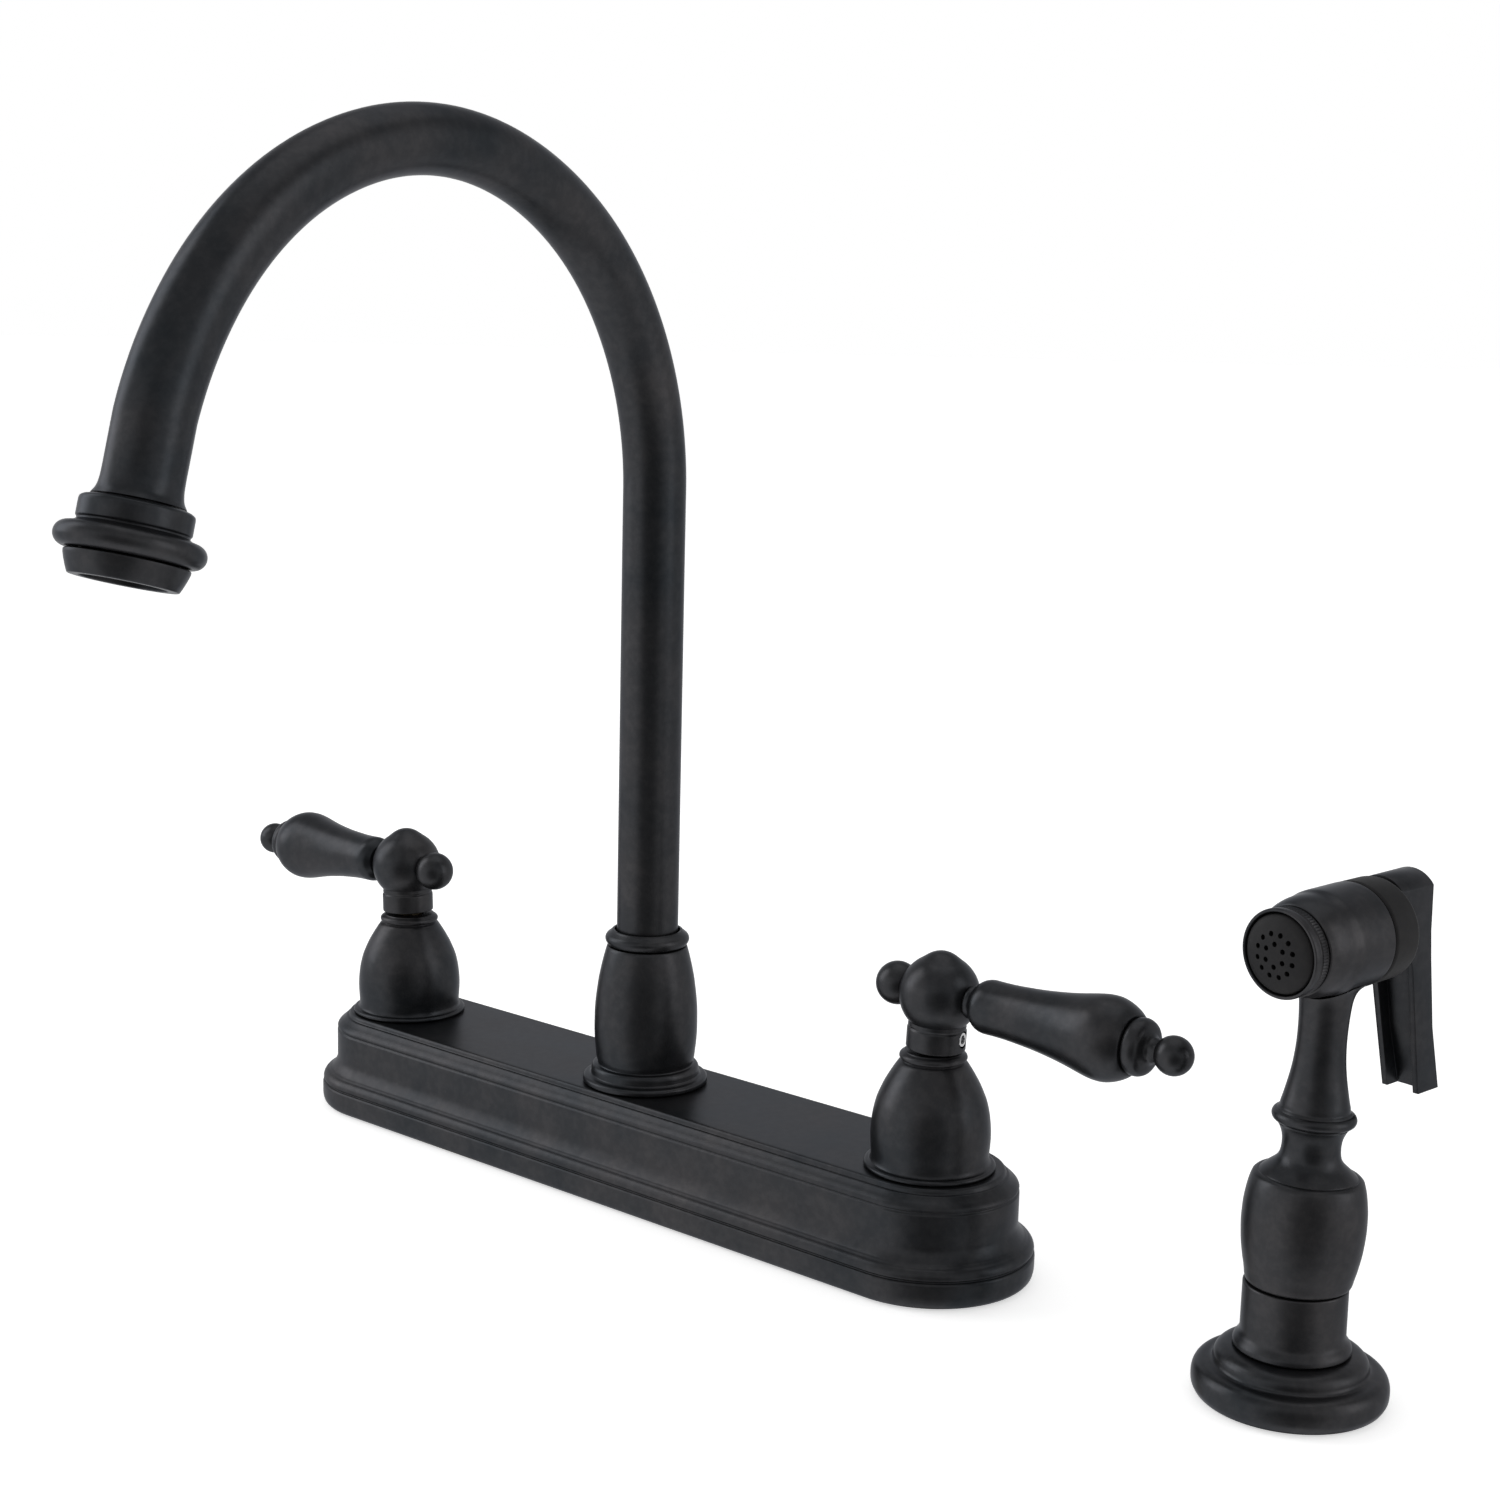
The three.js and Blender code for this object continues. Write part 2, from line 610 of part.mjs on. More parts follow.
part("trigger_pin", at(across(1.2, 5.2, 12), headAt), STEEL);

// the trigger: a trough bent from one sheet, open to the grip
function sideCut(points, half, top, taper) {
  const s = new THREE.Shape();
  points.forEach(([t, h], i) => s[i ? "lineTo" : "moveTo"](t, h));
  s.closePath();
  const g = new THREE.ExtrudeGeometry(s, { depth: 2 * half, steps: 1, bevelEnabled: false })
    .translate(0, 0, -half)
    .applyMatrix4(new THREE.Matrix4().makeBasis(V3(0, 0, 1), V3(0, 1, 0), V3(-1, 0, 0)));
  // the profile's x now runs along the spray axis and its y is up
  const p = g.attributes.position;
  for (let i = 0; i < p.count; i++) {
    const h = p.getY(i);
    if (h < -11) p.setX(i, p.getX(i) * (1 - (taper * (-11 - h)) / 30));
  }
  const body = solid(g);
  const crown = at(rod(top, -60, 20, 40), frame(V3(0, CROWN_H, 0), V3(0, 0, 1)));
  return body.intersect(add(crown, block(-20, 20, -60, CROWN_H, -60, 20)));
}
const triggerOut = sideCut(
  [
    [-17.6, 12.3], [-29.6, 12.3], [-29.6, -2], [-32.8, -26], [-37.0, -41.8], [-29.1, -41.8], [-23.4, -11],
    [-23.0, -9.5], [-20.1, -2], [-18.4, 3.5], [-17.6, 7.5],
  ],
  6, 7.5, 0.15,
);
const triggerIn = sideCut(
  [[-10, 12.3], [-26.4, 12.3], [-26.4, -2], [-29.4, -26], [-34.2, -46], [-10, -46]],
  4.5, 6.0, 0.2,
);
part("trigger", at(cut(triggerOut, triggerIn, across(1.5, 5.5, 12)), headAt), BRONZE);
part("spray_plunger", at(round([[0, -26.1], [1.6, -26.1], [2.0, -25.6], [2.0, 0.3], [4.6, 0.3], [4.6, 2.2], [1.2, 2.2], [1.2, 6], [0, 6]], 16), headAt), BRASS);
class Helix extends THREE.Curve {
  getPoint(t) {
    const a = 2 * Math.PI * 4 * t;
    return V3(3.2 * Math.cos(a), 3.2 * Math.sin(a), 2.9 + 10.4 * t);
  }
}
const wire = new THREE.Shape();
for (let i = 0; i < 5; i++) wire[i ? "lineTo" : "moveTo"](0.4 * Math.cos((2 * Math.PI * i) / 5), 0.4 * Math.sin((2 * Math.PI * i) / 5));
wire.closePath();
part(
  "plunger_spring",
  at(solid(new THREE.ExtrudeGeometry(wire, { steps: 48, bevelEnabled: false, extrudePath: new Helix() })), headAt),
  STEEL,
);

export default root;
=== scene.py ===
import math

import bmesh
import bpy
import numpy as np
from mathutils import Matrix, Vector


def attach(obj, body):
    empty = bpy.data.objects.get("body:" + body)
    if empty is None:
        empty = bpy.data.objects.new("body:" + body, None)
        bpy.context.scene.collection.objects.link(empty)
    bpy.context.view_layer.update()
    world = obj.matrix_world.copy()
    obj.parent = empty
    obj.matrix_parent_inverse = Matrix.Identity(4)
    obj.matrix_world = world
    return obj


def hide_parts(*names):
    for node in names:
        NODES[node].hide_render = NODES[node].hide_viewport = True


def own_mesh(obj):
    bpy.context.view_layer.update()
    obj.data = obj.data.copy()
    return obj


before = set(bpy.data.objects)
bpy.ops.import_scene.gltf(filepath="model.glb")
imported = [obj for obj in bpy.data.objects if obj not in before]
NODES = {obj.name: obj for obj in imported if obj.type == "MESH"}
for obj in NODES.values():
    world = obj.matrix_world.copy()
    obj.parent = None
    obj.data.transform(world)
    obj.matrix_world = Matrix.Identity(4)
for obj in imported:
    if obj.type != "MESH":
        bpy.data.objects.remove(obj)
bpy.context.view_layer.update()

MM = 0.001

# ---------------------------------------------------------------- camera
AZ, EL, ROLL = (math.radians(a) for a in (40.799, 9.979, 1.343))
back = Vector((math.sin(AZ) * math.cos(EL), -math.cos(AZ) * math.cos(EL), math.sin(EL)))
right = (-back).cross(Vector((0, 0, 1))).normalized()
up = right.cross(-back)
cam_x = math.cos(ROLL) * right + math.sin(ROLL) * up
cam_y = -math.sin(ROLL) * right + math.cos(ROLL) * up
camera = bpy.data.objects.new("camera", bpy.data.cameras.new("camera"))
camera.data.sensor_width = 36.0
camera.data.sensor_fit = "HORIZONTAL"
camera.data.lens = 2429.303 * 36.0 / 1500.0
camera.data.clip_start = 0.02
camera.data.clip_end = 20.0
m = Matrix.Identity(4)
for i in range(3):
    m[i][0], m[i][1], m[i][2] = cam_x[i], cam_y[i], back[i]
m[0][3], m[1][3], m[2][3] = 0.458127, -0.488131, 0.243102
camera.matrix_world = m
bpy.context.scene.collection.objects.link(camera)
bpy.context.scene.camera = camera

# ---------------------------------------------------------------- the same dimensions as the CAD, in mm
CENTRES = 101.6
BASE_R, BASE_Y = 27.6, 1.0
BALL_Z, BALL_R = 75.1, 10.45
HUB_TILT, HUB_FOOT = math.radians(2.74), 49.0
TUBE_R, TUBE_IN, TUBE_START = 8.67, 7.5, 54.1
ARC_Z, ARC_R = 197.8, 86.6
ARC_END, SWIVEL = math.radians(165.3), math.radians(3.87)
SPRAY = (207.99, -0.89)
SEAM_Z = 27.9
LEAN = Vector((0.0325 * 0.757, 0.0325 * 0.653, 1.0)).normalized()
HEAD = Vector((210.25, 1.07, 109.2))
HEAD_U = Vector((-0.16, -0.986, -0.033)).normalized()
PIVOT_T, PIVOT_H, CROWN_H = -22.5, 6.5, 4.6


def frame_at(origin, z, x=None):
    """Matrix, in mm, that takes +Z to z and +X to x."""
    z = Vector(z).normalized()
    if x is None:
        rot = Vector((0, 0, 1)).rotation_difference(z).to_matrix()
    else:
        y = z.cross(Vector(x)).normalized()
        x = y.cross(z)
        rot = Matrix((x, y, z)).transposed()
    return Matrix.Translation(Vector(origin)) @ rot.to_4x4()


# ---------------------------------------------------------------- profiles
def smooth(points, step=0.5):
    """Points on a centripetal spline through the given ones, about step mm apart."""
    p = [np.array(q[:2], float) for q in points]
    p = [2 * p[0] - p[1]] + p + [2 * p[-1] - p[-2]]
    out = []
    for a, b, c, d in zip(p, p[1:], p[2:], p[3:]):
        t = [0.0]
        for u, v in ((a, b), (b, c), (c, d)):
            t.append(t[-1] + max(np.linalg.norm(v - u), 1e-6) ** 0.5)
        n = max(2, int(np.ceil(np.linalg.norm(c - b) / step)))
        for s in np.linspace(t[1], t[2], n, endpoint=False):
            a1 = (t[1] - s) / (t[1] - t[0]) * a + (s - t[0]) / (t[1] - t[0]) * b
            a2 = (t[2] - s) / (t[2] - t[1]) * b + (s - t[1]) / (t[2] - t[1]) * c
            a3 = (t[3] - s) / (t[3] - t[2]) * c + (s - t[2]) / (t[3] - t[2]) * d
            b1 = (t[2] - s) / (t[2] - t[0]) * a1 + (s - t[0]) / (t[2] - t[0]) * a2
            b2 = (t[3] - s) / (t[3] - t[1]) * a2 + (s - t[1]) / (t[3] - t[1]) * a3
            out.append(tuple((t[2] - s) / (t[2] - t[1]) * b1 + (s - t[1]) / (t[2] - t[1]) * b2))
    out.append(tuple(p[-2]))
    return out


def eased(points, closed, n=4):
    """Rounds each point (r, z, d) off over the distance d on both sides."""
    out, k = [], len(points)
    for i, q in enumerate(points):
        d = q[2] if len(q) > 2 else 0.0
        if d <= 0 or (not closed and i in (0, k - 1)):
            out.append((q[0], q[1]))
            continue
        p = np.array(q[:2], float)
        a, b = np.array(points[i - 1][:2], float), np.array(points[(i + 1) % k][:2], float)
        la, lb = np.linalg.norm(a - p), np.linalg.norm(b - p)
        d = min(d, 0.49 * la, 0.49 * lb)
        s, e = p + (a - p) * d / la, p + (b - p) * d / lb
        for t in np.linspace(0, 1, n + 1):
            out.append(tuple((1 - t) ** 2 * s + 2 * t * (1 - t) * p + t * t * e))
    return out


def arc(cz, r, a0, a1, n, cr=0.0):
    return [
        (cr + r * math.cos(math.radians(a)), cz + r * math.sin(math.radians(a)))
        for a in np.linspace(a0, a1, n + 1)
    ]


# ---------------------------------------------------------------- meshes
def mesh_object(name, verts, faces, matrix=None, sharp=32.0):
    me = bpy.data.meshes.new(name)
    bm = bmesh.new()
    m4 = Matrix.Scale(MM, 4) @ (matrix or Matrix.Identity(4))
    vs = [bm.verts.new(m4 @ Vector(v)) for v in verts]
    for f in faces:
        if len(set(f)) > 2:
            try:
                bm.faces.new([vs[i] for i in f])
            except ValueError:
                pass
    bmesh.ops.remove_doubles(bm, verts=bm.verts, dist=2e-7)
    bmesh.ops.recalc_face_normals(bm, faces=bm.faces)
    finish_mesh(bm, sharp)
    bm.to_mesh(me)
    bm.free()
    o = bpy.data.objects.new(name, me)
    bpy.context.scene.collection.objects.link(o)
    return o


def finish_mesh(bm, sharp):
    for f in bm.faces:
        f.smooth = True
    limit = math.radians(sharp)
    for e in bm.edges:
        e.smooth = not (len(e.link_faces) == 2 and e.calc_face_angle(0) > limit)


def turned_data(profile, closed, seg):
    verts, faces, ring = [], [], []
    for r, z in profile:
        if abs(r) < 1e-6:
            ring.append([len(verts)] * seg)
            verts.append((0, 0, z))
        else:
            ring.append(list(range(len(verts), len(verts) + seg)))
            verts += [(r * math.cos(2 * math.pi * k / seg), r * math.sin(2 * math.pi * k / seg), z) for k in range(seg)]
    pairs = list(zip(ring, ring[1:])) + ([(ring[-1], ring[0])] if closed else [])
    for a, b in pairs:
        for k in range(seg):
            q = (k + 1) % seg
            f = [a[k], a[q], b[q], b[k]]
            f = [v for i, v in enumerate(f) if v != f[i - 1]]
            if len(f) > 2:
                faces.append(f)
    return verts, faces


def turned(name, profile, closed=False, seg=96, matrix=None, sharp=32.0):
    v, f = turned_data(profile, closed, seg)
    return mesh_object(name, v, f, matrix, sharp)


def swept(name, rings, closed_section=True, caps=False, cyclic=False, sharp=32.0):
    """Skins a row of rings, each a list of points in mm."""
    n = len(rings[0])
    verts = [p for r in rings for p in r]
    faces = []
    rows = list(range(len(rings) - 1)) + ([len(rings) - 1] if cyclic else [])
    for i in rows:
        a, b = i * n, ((i + 1) % len(rings)) * n
        for k in range(n if closed_section else n - 1):
            q = (k + 1) % n
            faces.append([a + k, a + q, b + q, b + k])
    if caps:
        faces.append(list(range(n))[::-1])
        faces.append(list(range((len(rings) - 1) * n, len(rings) * n)))
    return mesh_object(name, verts, faces, None, sharp)


def boolean(obj, other, op="DIFFERENCE"):
    """Cuts, joins or crosses obj with other, which is used up."""
    mod = obj.modifiers.new("b", "BOOLEAN")
    mod.operation = op
    mod.solver = "EXACT"
    mod.object = other
    apply_modifiers(obj)
    bpy.data.objects.remove(other)
    return obj


def apply_modifiers(obj):
    bpy.context.view_layer.update()
    dg = bpy.context.evaluated_depsgraph_get()
    me = bpy.data.meshes.new_from_object(obj.evaluated_get(dg))
    obj.modifiers.clear()
    old = obj.data
    obj.data = me
    bpy.data.meshes.remove(old)


def resharpen(obj, sharp=32.0, merge=2e-6):
    bm = bmesh.new()
    bm.from_mesh(obj.data)
    bmesh.ops.remove_doubles(bm, verts=bm.verts, dist=merge)
    finish_mesh(bm, sharp)
    bm.to_mesh(obj.data)
    bm.free()
    return obj


def bevelled(obj, width, segments=3, angle=35.0):
    mod = obj.modifiers.new("bevel", "BEVEL")
    mod.width = width * MM
    mod.segments = segments
    mod.limit_method = "ANGLE"
    mod.angle_limit = math.radians(angle)
    mod.harden_normals = False
    apply_modifiers(obj)
    return resharpen(obj, 40.0, 1e-7)


def rod(name, r, z0, z1, seg=48, matrix=None):
    return turned(name, [(0, z0), (r, z0), (r, z1), (0, z1)], False, seg, matrix)


def box_object(name, x0, x1, y0, y1, z0, z1, matrix=None):
    v = [(x, y, z) for z in (z0, z1) for y in (y0, y1) for x in (x0, x1)]
    f = [[0, 2, 3, 1], [4, 5, 7, 6], [0, 1, 5, 4], [2, 6, 7, 3], [0, 4, 6, 2], [1, 3, 7, 5]]
    return mesh_object(name, v, f, matrix)


def prism(name, outline, half, matrix=None, width=None):
    """An outline of (z, y) points run from -half to half along X. width(y) scales X."""
    w = width or (lambda y: 1.0)
    n = len(outline)
    v = [(-half * w(y), y, z) for z, y in outline] + [(half * w(y), y, z) for z, y in outline]
    f = [list(range(n)), list(range(n, 2 * n))[::-1]]
    f += [[k, (k + 1) % n, n + (k + 1) % n, n + k] for k in range(n)]
    return mesh_object(name, v, f, matrix)


def place(obj, body, nodes, material):
    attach(obj, body)
    if nodes:
        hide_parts(*([nodes] if isinstance(nodes, str) else nodes))
    obj.data.materials.clear()
    obj.data.materials.append(material)
    return obj


# ---------------------------------------------------------------- materials
def new_material(name):
    mat = bpy.data.materials.new(name)
    mat.use_nodes = True
    nt = mat.node_tree
    nt.nodes.clear()
    out = nt.nodes.new("ShaderNodeOutputMaterial")
    bsdf = nt.nodes.new("ShaderNodeBsdfPrincipled")
    nt.links.new(bsdf.outputs["BSDF"], out.inputs["Surface"])
    return mat, nt, bsdf


def noise(nt, scale, detail=4.0, rough=0.55, stretch=(1, 1, 1)):
    tc = nt.nodes.new("ShaderNodeTexCoord")
    mp = nt.nodes.new("ShaderNodeMapping")
    mp.inputs["Scale"].default_value = stretch
    tx = nt.nodes.new("ShaderNodeTexNoise")
    tx.inputs["Scale"].default_value = scale
    tx.inputs["Detail"].default_value = detail
    tx.inputs["Roughness"].default_value = rough
    nt.links.new(tc.outputs["Object"], mp.inputs["Vector"])
    nt.links.new(mp.outputs["Vector"], tx.inputs["Vector"])
    return tx.outputs["Fac"]


def ramp(nt, fac, stops):
    r = nt.nodes.new("ShaderNodeValToRGB")
    els = r.color_ramp.elements
    while len(els) > 1:
        els.remove(els[-1])
    els[0].position, els[0].color = stops[0][0], (*stops[0][1], 1)
    for pos, col in stops[1:]:
        e = els.new(pos)
        e.color = (*col, 1)
    nt.links.new(fac, r.inputs["Fac"])
    return r.outputs["Color"]


def spread(nt, fac, lo, hi, flo=0.3, fhi=0.7):
    mr = nt.nodes.new("ShaderNodeMapRange")
    for key, val in (("From Min", flo), ("From Max", fhi), ("To Min", lo), ("To Max", hi)):
        mr.inputs[key].default_value = val
    nt.links.new(fac, mr.inputs["Value"])
    return mr.outputs["Result"]


def mix(nt, fac, a, b, mode="MIX"):
    mx = nt.nodes.new("ShaderNodeMix")
    mx.data_type = "RGBA"
    mx.blend_type = mode
    for socket, val in ((mx.inputs[0], fac), (mx.inputs[6], a), (mx.inputs[7], b)):
        if hasattr(val, "is_linked") or hasattr(val, "links"):
            nt.links.new(val, socket)
        else:
            socket.default_value = val if isinstance(val, float) else (*val, 1)
    return mx.outputs[2]


def bump(nt, bsdf, layers):
    """layers: (height socket, distance in metres), laid one on the other."""
    last = None
    for height, distance in layers:
        b = nt.nodes.new("ShaderNodeBump")
        b.inputs["Strength"].default_value = 1.0
        b.inputs["Distance"].default_value = distance
        nt.links.new(height, b.inputs["Height"])
        if last is not None:
            nt.links.new(last, b.inputs["Normal"])
        last = b.outputs["Normal"]
    nt.links.new(last, bsdf.inputs["Normal"])


def bronze_material(name, dark, light, rough, metallic=0.85, grain=(1, 1, 1), grain_depth=2.0e-6):
    """Oil-rubbed bronze: a near-black patina with warmer clouds and a faint brushed grain."""
    mat, nt, bsdf = new_material(name)
    cloud = noise(nt, 38.0, 5.0, 0.6)
    fine = noise(nt, 420.0, 3.0, 0.6)
    brush = noise(nt, 900.0, 2.0, 0.5, grain)
    base = ramp(nt, cloud, [(0.30, dark), (0.52, tuple(0.5 * (a + b) for a, b in zip(dark, light))), (0.74, light)])
    speck = ramp(nt, fine, [(0.42, (0.90, 0.90, 0.90)), (0.62, (1.06, 1.05, 1.04))])
    nt.links.new(mix(nt, 1.0, base, speck, "MULTIPLY"), bsdf.inputs["Base Color"])
    bsdf.inputs["Metallic"].default_value = metallic
    bsdf.inputs["Specular Tint"].default_value = (0.54, 0.55, 0.575, 1)
    nt.links.new(spread(nt, cloud, rough - 0.035, rough + 0.045), bsdf.inputs["Roughness"])
    bump(nt, bsdf, [(brush, grain_depth), (fine, 3.0e-6)])
    return mat


def plain_metal(name, colour, rough, grain=(1, 1, 1), depth=2.0e-6, tint=0.85):
    mat, nt, bsdf = new_material(name)
    cloud = noise(nt, 60.0, 4.0)
    brush = noise(nt, 1100.0, 2.0, 0.5, grain)
    nt.links.new(ramp(nt, cloud, [(0.3, tuple(c * tint for c in colour)), (0.7, colour)]), bsdf.inputs["Base Color"])
    bsdf.inputs["Metallic"].default_value = 1.0
    nt.links.new(spread(nt, brush, rough - 0.06, rough + 0.06), bsdf.inputs["Roughness"])
    bump(nt, bsdf, [(brush, depth)])
    return mat


def moulded(name, colour, rough, depth=6.0e-6, scale=600.0):
    mat, nt, bsdf = new_material(name)
    cloud = noise(nt, 45.0, 3.0)
    fine = noise(nt, scale, 3.0, 0.6)
    nt.links.new(ramp(nt, cloud, [(0.3, tuple(c * 0.9 for c in colour)), (0.7, colour)]), bsdf.inputs["Base Color"])
    nt.links.new(spread(nt, fine, rough - 0.05, rough + 0.07), bsdf.inputs["Roughness"])
    bump(nt, bsdf, [(fine, depth)])
    return mat


DARK, LIGHT = (0.0283, 0.0318, 0.0362), (0.0585, 0.0565, 0.0590)
BRONZE = bronze_material("oil_rubbed_bronze", DARK, LIGHT, 0.34)
BRONZE_X = bronze_material("oil_rubbed_bronze_brushed_along", DARK, LIGHT, 0.36, grain=(0.04, 1, 1))
MATT = bronze_material("bronze_matte", (0.013, 0.013, 0.014), (0.022, 0.021, 0.021), 0.58, 0.45, grain_depth=4.0e-6)
BRASS = plain_metal("cast_brass", (0.62, 0.44, 0.20), 0.34)
# brass coloured near black: painted shade where the valve stems show through the gap at the hub foot
BRASS_PAINTED_SHADE = plain_metal("brass_painted_shade", (0.085, 0.068, 0.046), 0.46)
BRASS_CAST = plain_metal("cast_brass_rough", (0.50, 0.36, 0.17), 0.48, depth=2.5e-5)
STEEL = plain_metal("stainless", (0.62, 0.62, 0.63), 0.24, (1, 1, 0.1))
RUBBER = moulded("seal_rubber", (0.018, 0.018, 0.019), 0.62)
FOAM = moulded("foam_gasket", (0.045, 0.045, 0.047), 0.9, 6.0e-5, 900.0)
POLYMER = moulded("moulded_plastic", (0.62, 0.60, 0.55), 0.42)
# dark plastic for the aerator insert, kept near black as painted shade inside the spout's mouth
GREY = moulded("screen_plastic", (0.030, 0.031, 0.032), 0.45)


# ---------------------------------------------------------------- base plate
def stadium_rings(profile, seg_end):
    """Rings round the plate for each (inset from the end circle's radius, z)."""
    rings = []
    for r, z in profile:
        ring = []
        for k in range(seg_end + 1):
            a = -math.pi / 2 + math.pi * k / seg_end
            ring.append((CENTRES + r * math.cos(a), BASE_Y + r * math.sin(a), z))
        for k in range(seg_end + 1):
            a = math.pi / 2 + math.pi * k / seg_end
            ring.append((-CENTRES + r * math.cos(a), BASE_Y + r * math.sin(a), z))
        rings.append(ring)
    return rings


def base_cover():
    R = BASE_R
    outer = (
        eased(
            [
                (R - 3.0, 0.0), (R - 1.3, 0.0, 0.4), (R - 0.4, 0.9, 0.7), (R, 2.6, 1.0), (R, 6.3, 0.3), (R - 0.25, 6.85, 0.25), (R - 0.75, 7.05, 0.12),
                (R - 0.75, 7.35, 0.12), (R - 0.30, 7.75, 0.3),
            ],
            False,
        )
        + smooth([(R - 0.22, 8.2), (R - 0.45, 9.0), (R - 1.1, 9.9), (R - 2.0, 10.45)], 0.3)
        + smooth([(R - 2.3, 10.75), (R - 2.8, 11.1), (R - 3.45, 11.9), (R - 4.1, 13.0), (R - 4.5, 14.1), (R - 4.6, 14.9)], 0.3)
        + eased(
            [
                (R - 4.6, 15.2), (R - 4.6, 23.1, 0.3), (R - 5.0, 23.5, 0.15), (R - 5.0, 23.85, 0.15), (R - 4.72, 24.1, 0.2),
            ],
            False,
        )
        + smooth([(R - 4.68, 24.4), (R - 4.95, 25.0), (R - 5.6, 25.7), (R - 6.4, 26.35), (R - 7.0, 26.9), (R - 7.4, 27.3)], 0.3)
        + eased([(R - 7.6, 27.45), (R - 8.05, 27.5, 0.12), (R - 8.2, 27.8, 0.15), (R - 8.35, 28.4, 0.3), (R - 8.8, 28.85, 0.35), (R - 9.6, 28.9, 0.3), (R - 10.4, 28.9)], False)
    )
    inner = eased([(R - 10.8, 25.4), (R - 7.4, 21.5, 1), (R - 7.4, 12.5, 1), (R - 3.0, 6.5, 1), (R - 3.0, 0.0)], False)
    rings = stadium_rings(outer, 48)
    n = len(rings[0])
    verts = [p for r in rings for p in r]
    faces = []
    for i in range(len(rings) - 1):
        a, b = i * n, (i + 1) * n
        faces += [[a + k, a + (k + 1) % n, b + (k + 1) % n, b + k] for k in range(n)]
    irings = stadium_rings(inner, 48)
    off = len(verts)
    verts += [p for r in irings for p in r]
    for i in range(len(irings) - 1):
        a, b = off + i * n, off + (i + 1) * n
        faces += [[a + k, a + (k + 1) % n, b + (k + 1) % n, b + k] for k in range(n)]
    # rim at the foot, and flat top and ceiling
    last = off + (len(irings) - 1) * n
    faces += [[k, (k + 1) % n, last + (k + 1) % n, last + k] for k in range(n)]
    top = (len(rings) - 1) * n
    faces.append([top + k for k in range(n)])
    faces.append([off + k for k in range(n)][::-1])
    o = mesh_object("base_plate", verts, faces, None)
    for x in (-CENTRES, 0, CENTRES):
        boolean(o, rod("cut", 11.5, 20, 32, 64, Matrix.Translation((x, 0, 0))))
    return resharpen(o)


place(base_cover(), "base", "base_cover", BRONZE_X)

# ---------------------------------------------------------------- bells
BELL = (
    eased([(13.2, 29.2), (16.95, 29.2, 0.15), (17.15, 29.4, 0.15), (17.15, 29.95, 0.3), (16.6, 30.35, 0.25), (15.95, 30.45, 0.12), (15.65, 30.62, 0.12), (15.4, 31.2)], False)
    + smooth(
        [
            (15.35, 31.8), (15.35, 33.0), (15.5, 35.0), (15.6, 37.5), (15.5, 40.0), (15.15, 43.0), (14.75, 45.0), (14.2, 47.0),
            (13.4, 49.0), (12.5, 51.0), (11.4, 53.0), (10.2, 55.0), (9.25, 56.45),
        ],
        0.8,
    )
    + eased([(8.85, 56.95, 0.2), (8.2, 57.25, 0.12), (8.35, 57.5)], False)
    + arc(58.45, 0.98, -62, 62, 8, 7.85)
    + eased([(8.1, 59.45, 0.1), (7.7, 59.7, 0.15), (7.5, 59.95, 0.1), (4.6, 60.0), (4.6, 57.3), (6.5, 56.4), (9.2, 53.6), (11.4, 49.5), (12.6, 46.5), (13.2, 43)], False)
)
for side, sx in (("left", -1), ("right", 1)):
    place(
        turned("bell_shell_" + side, BELL, True, 112, Matrix.Translation((sx * CENTRES, 0, 0))),
        "base", "bell_" + side, BRONZE,
    )

# ---------------------------------------------------------------- spout post and ring
POST = (
    eased([(13.2, 29.2), (17.5, 29.2, 0.2), (17.77, 29.45, 0.2), (17.77, 30.5, 0.4), (17.2, 31.0, 0.3), (16.0, 31.15, 0.2), (15.4, 31.5, 0.25), (15.35, 33.2, 0.5), (14.9, 34.1, 0.4), (13.75, 34.35, 0.15), (13.6, 34.6)], False)
    + smooth(
        [
            (13.62, 35.0), (13.9, 35.9), (14.2, 38.3), (14.45, 40.7), (14.6, 42.9), (14.66, 45.2), (14.64, 47.6), (14.6, 50.0), (14.45, 52.3),
            (14.2, 54.7), (13.9, 57.0), (13.55, 59.4), (13.1, 61.7), (12.6, 64.0), (12.0, 66.4), (11.4, 68.5),
        ],
        0.8,
    )
    + [(11.2, 68.7), (9.3, 68.7), (9.3, 62.0), (11.6, 55.0), (11.6, 34.0), (13.2, 32.0)]
)
place(turned("spout_post_shell", POST, True, 112), "base", "spout_post", BRONZE)
RING = eased(
    [
        (9.3, 69.1), (10.9, 69.1, 0.1), (11.3, 69.35, 0.2), (11.8, 70.2, 0.4), (11.95, 71.0, 0.5), (11.6, 71.9, 0.5), (10.9, 72.45, 0.3),
        (10.2, 73.0, 0.3), (9.9, 73.4, 0.15), (9.3, 73.4, 0.1),
    ],
    True,
)
place(turned("spout_ring_nut", RING, True, 112), "base", "spout_ring", BRONZE)


# ---------------------------------------------------------------- spout
BEND = smooth([(0, 0.05), (15, 0), (30, 0.15), (45, 0.42), (60, 0.48), (80, 0.48), (90, 0.3), (100, 0.03), (110, -0.28), (120, -0.45), (130, -0.5), (140, -0.4), (150, -0.1), (160, 0.6), (165.3, 1.1)], 1.0)
NECK_R = smooth([(0, 8.67), (30, 8.65), (60, 8.52), (90, 8.55), (120, 8.72), (140, 8.9), (160, 9.05), (165.3, 9.06)], 1.0)


def along(table, a):
    """A value off a table of (degrees, value)."""
    return float(np.interp(math.degrees(a), [float(q[0]) for q in table], [float(q[1]) for q in table]))


def neck_point(a):
    r = ARC_R + along(BEND, a)
    y = -ARC_R + r * math.cos(a)
    return Vector((-math.sin(SWIVEL) * y, math.cos(SWIVEL) * y, ARC_Z + r * math.sin(a)))


def neck_dir(a):
    y = -math.sin(a)
    return Vector((-math.sin(SWIVEL) * y, math.cos(SWIVEL) * y, math.cos(a)))


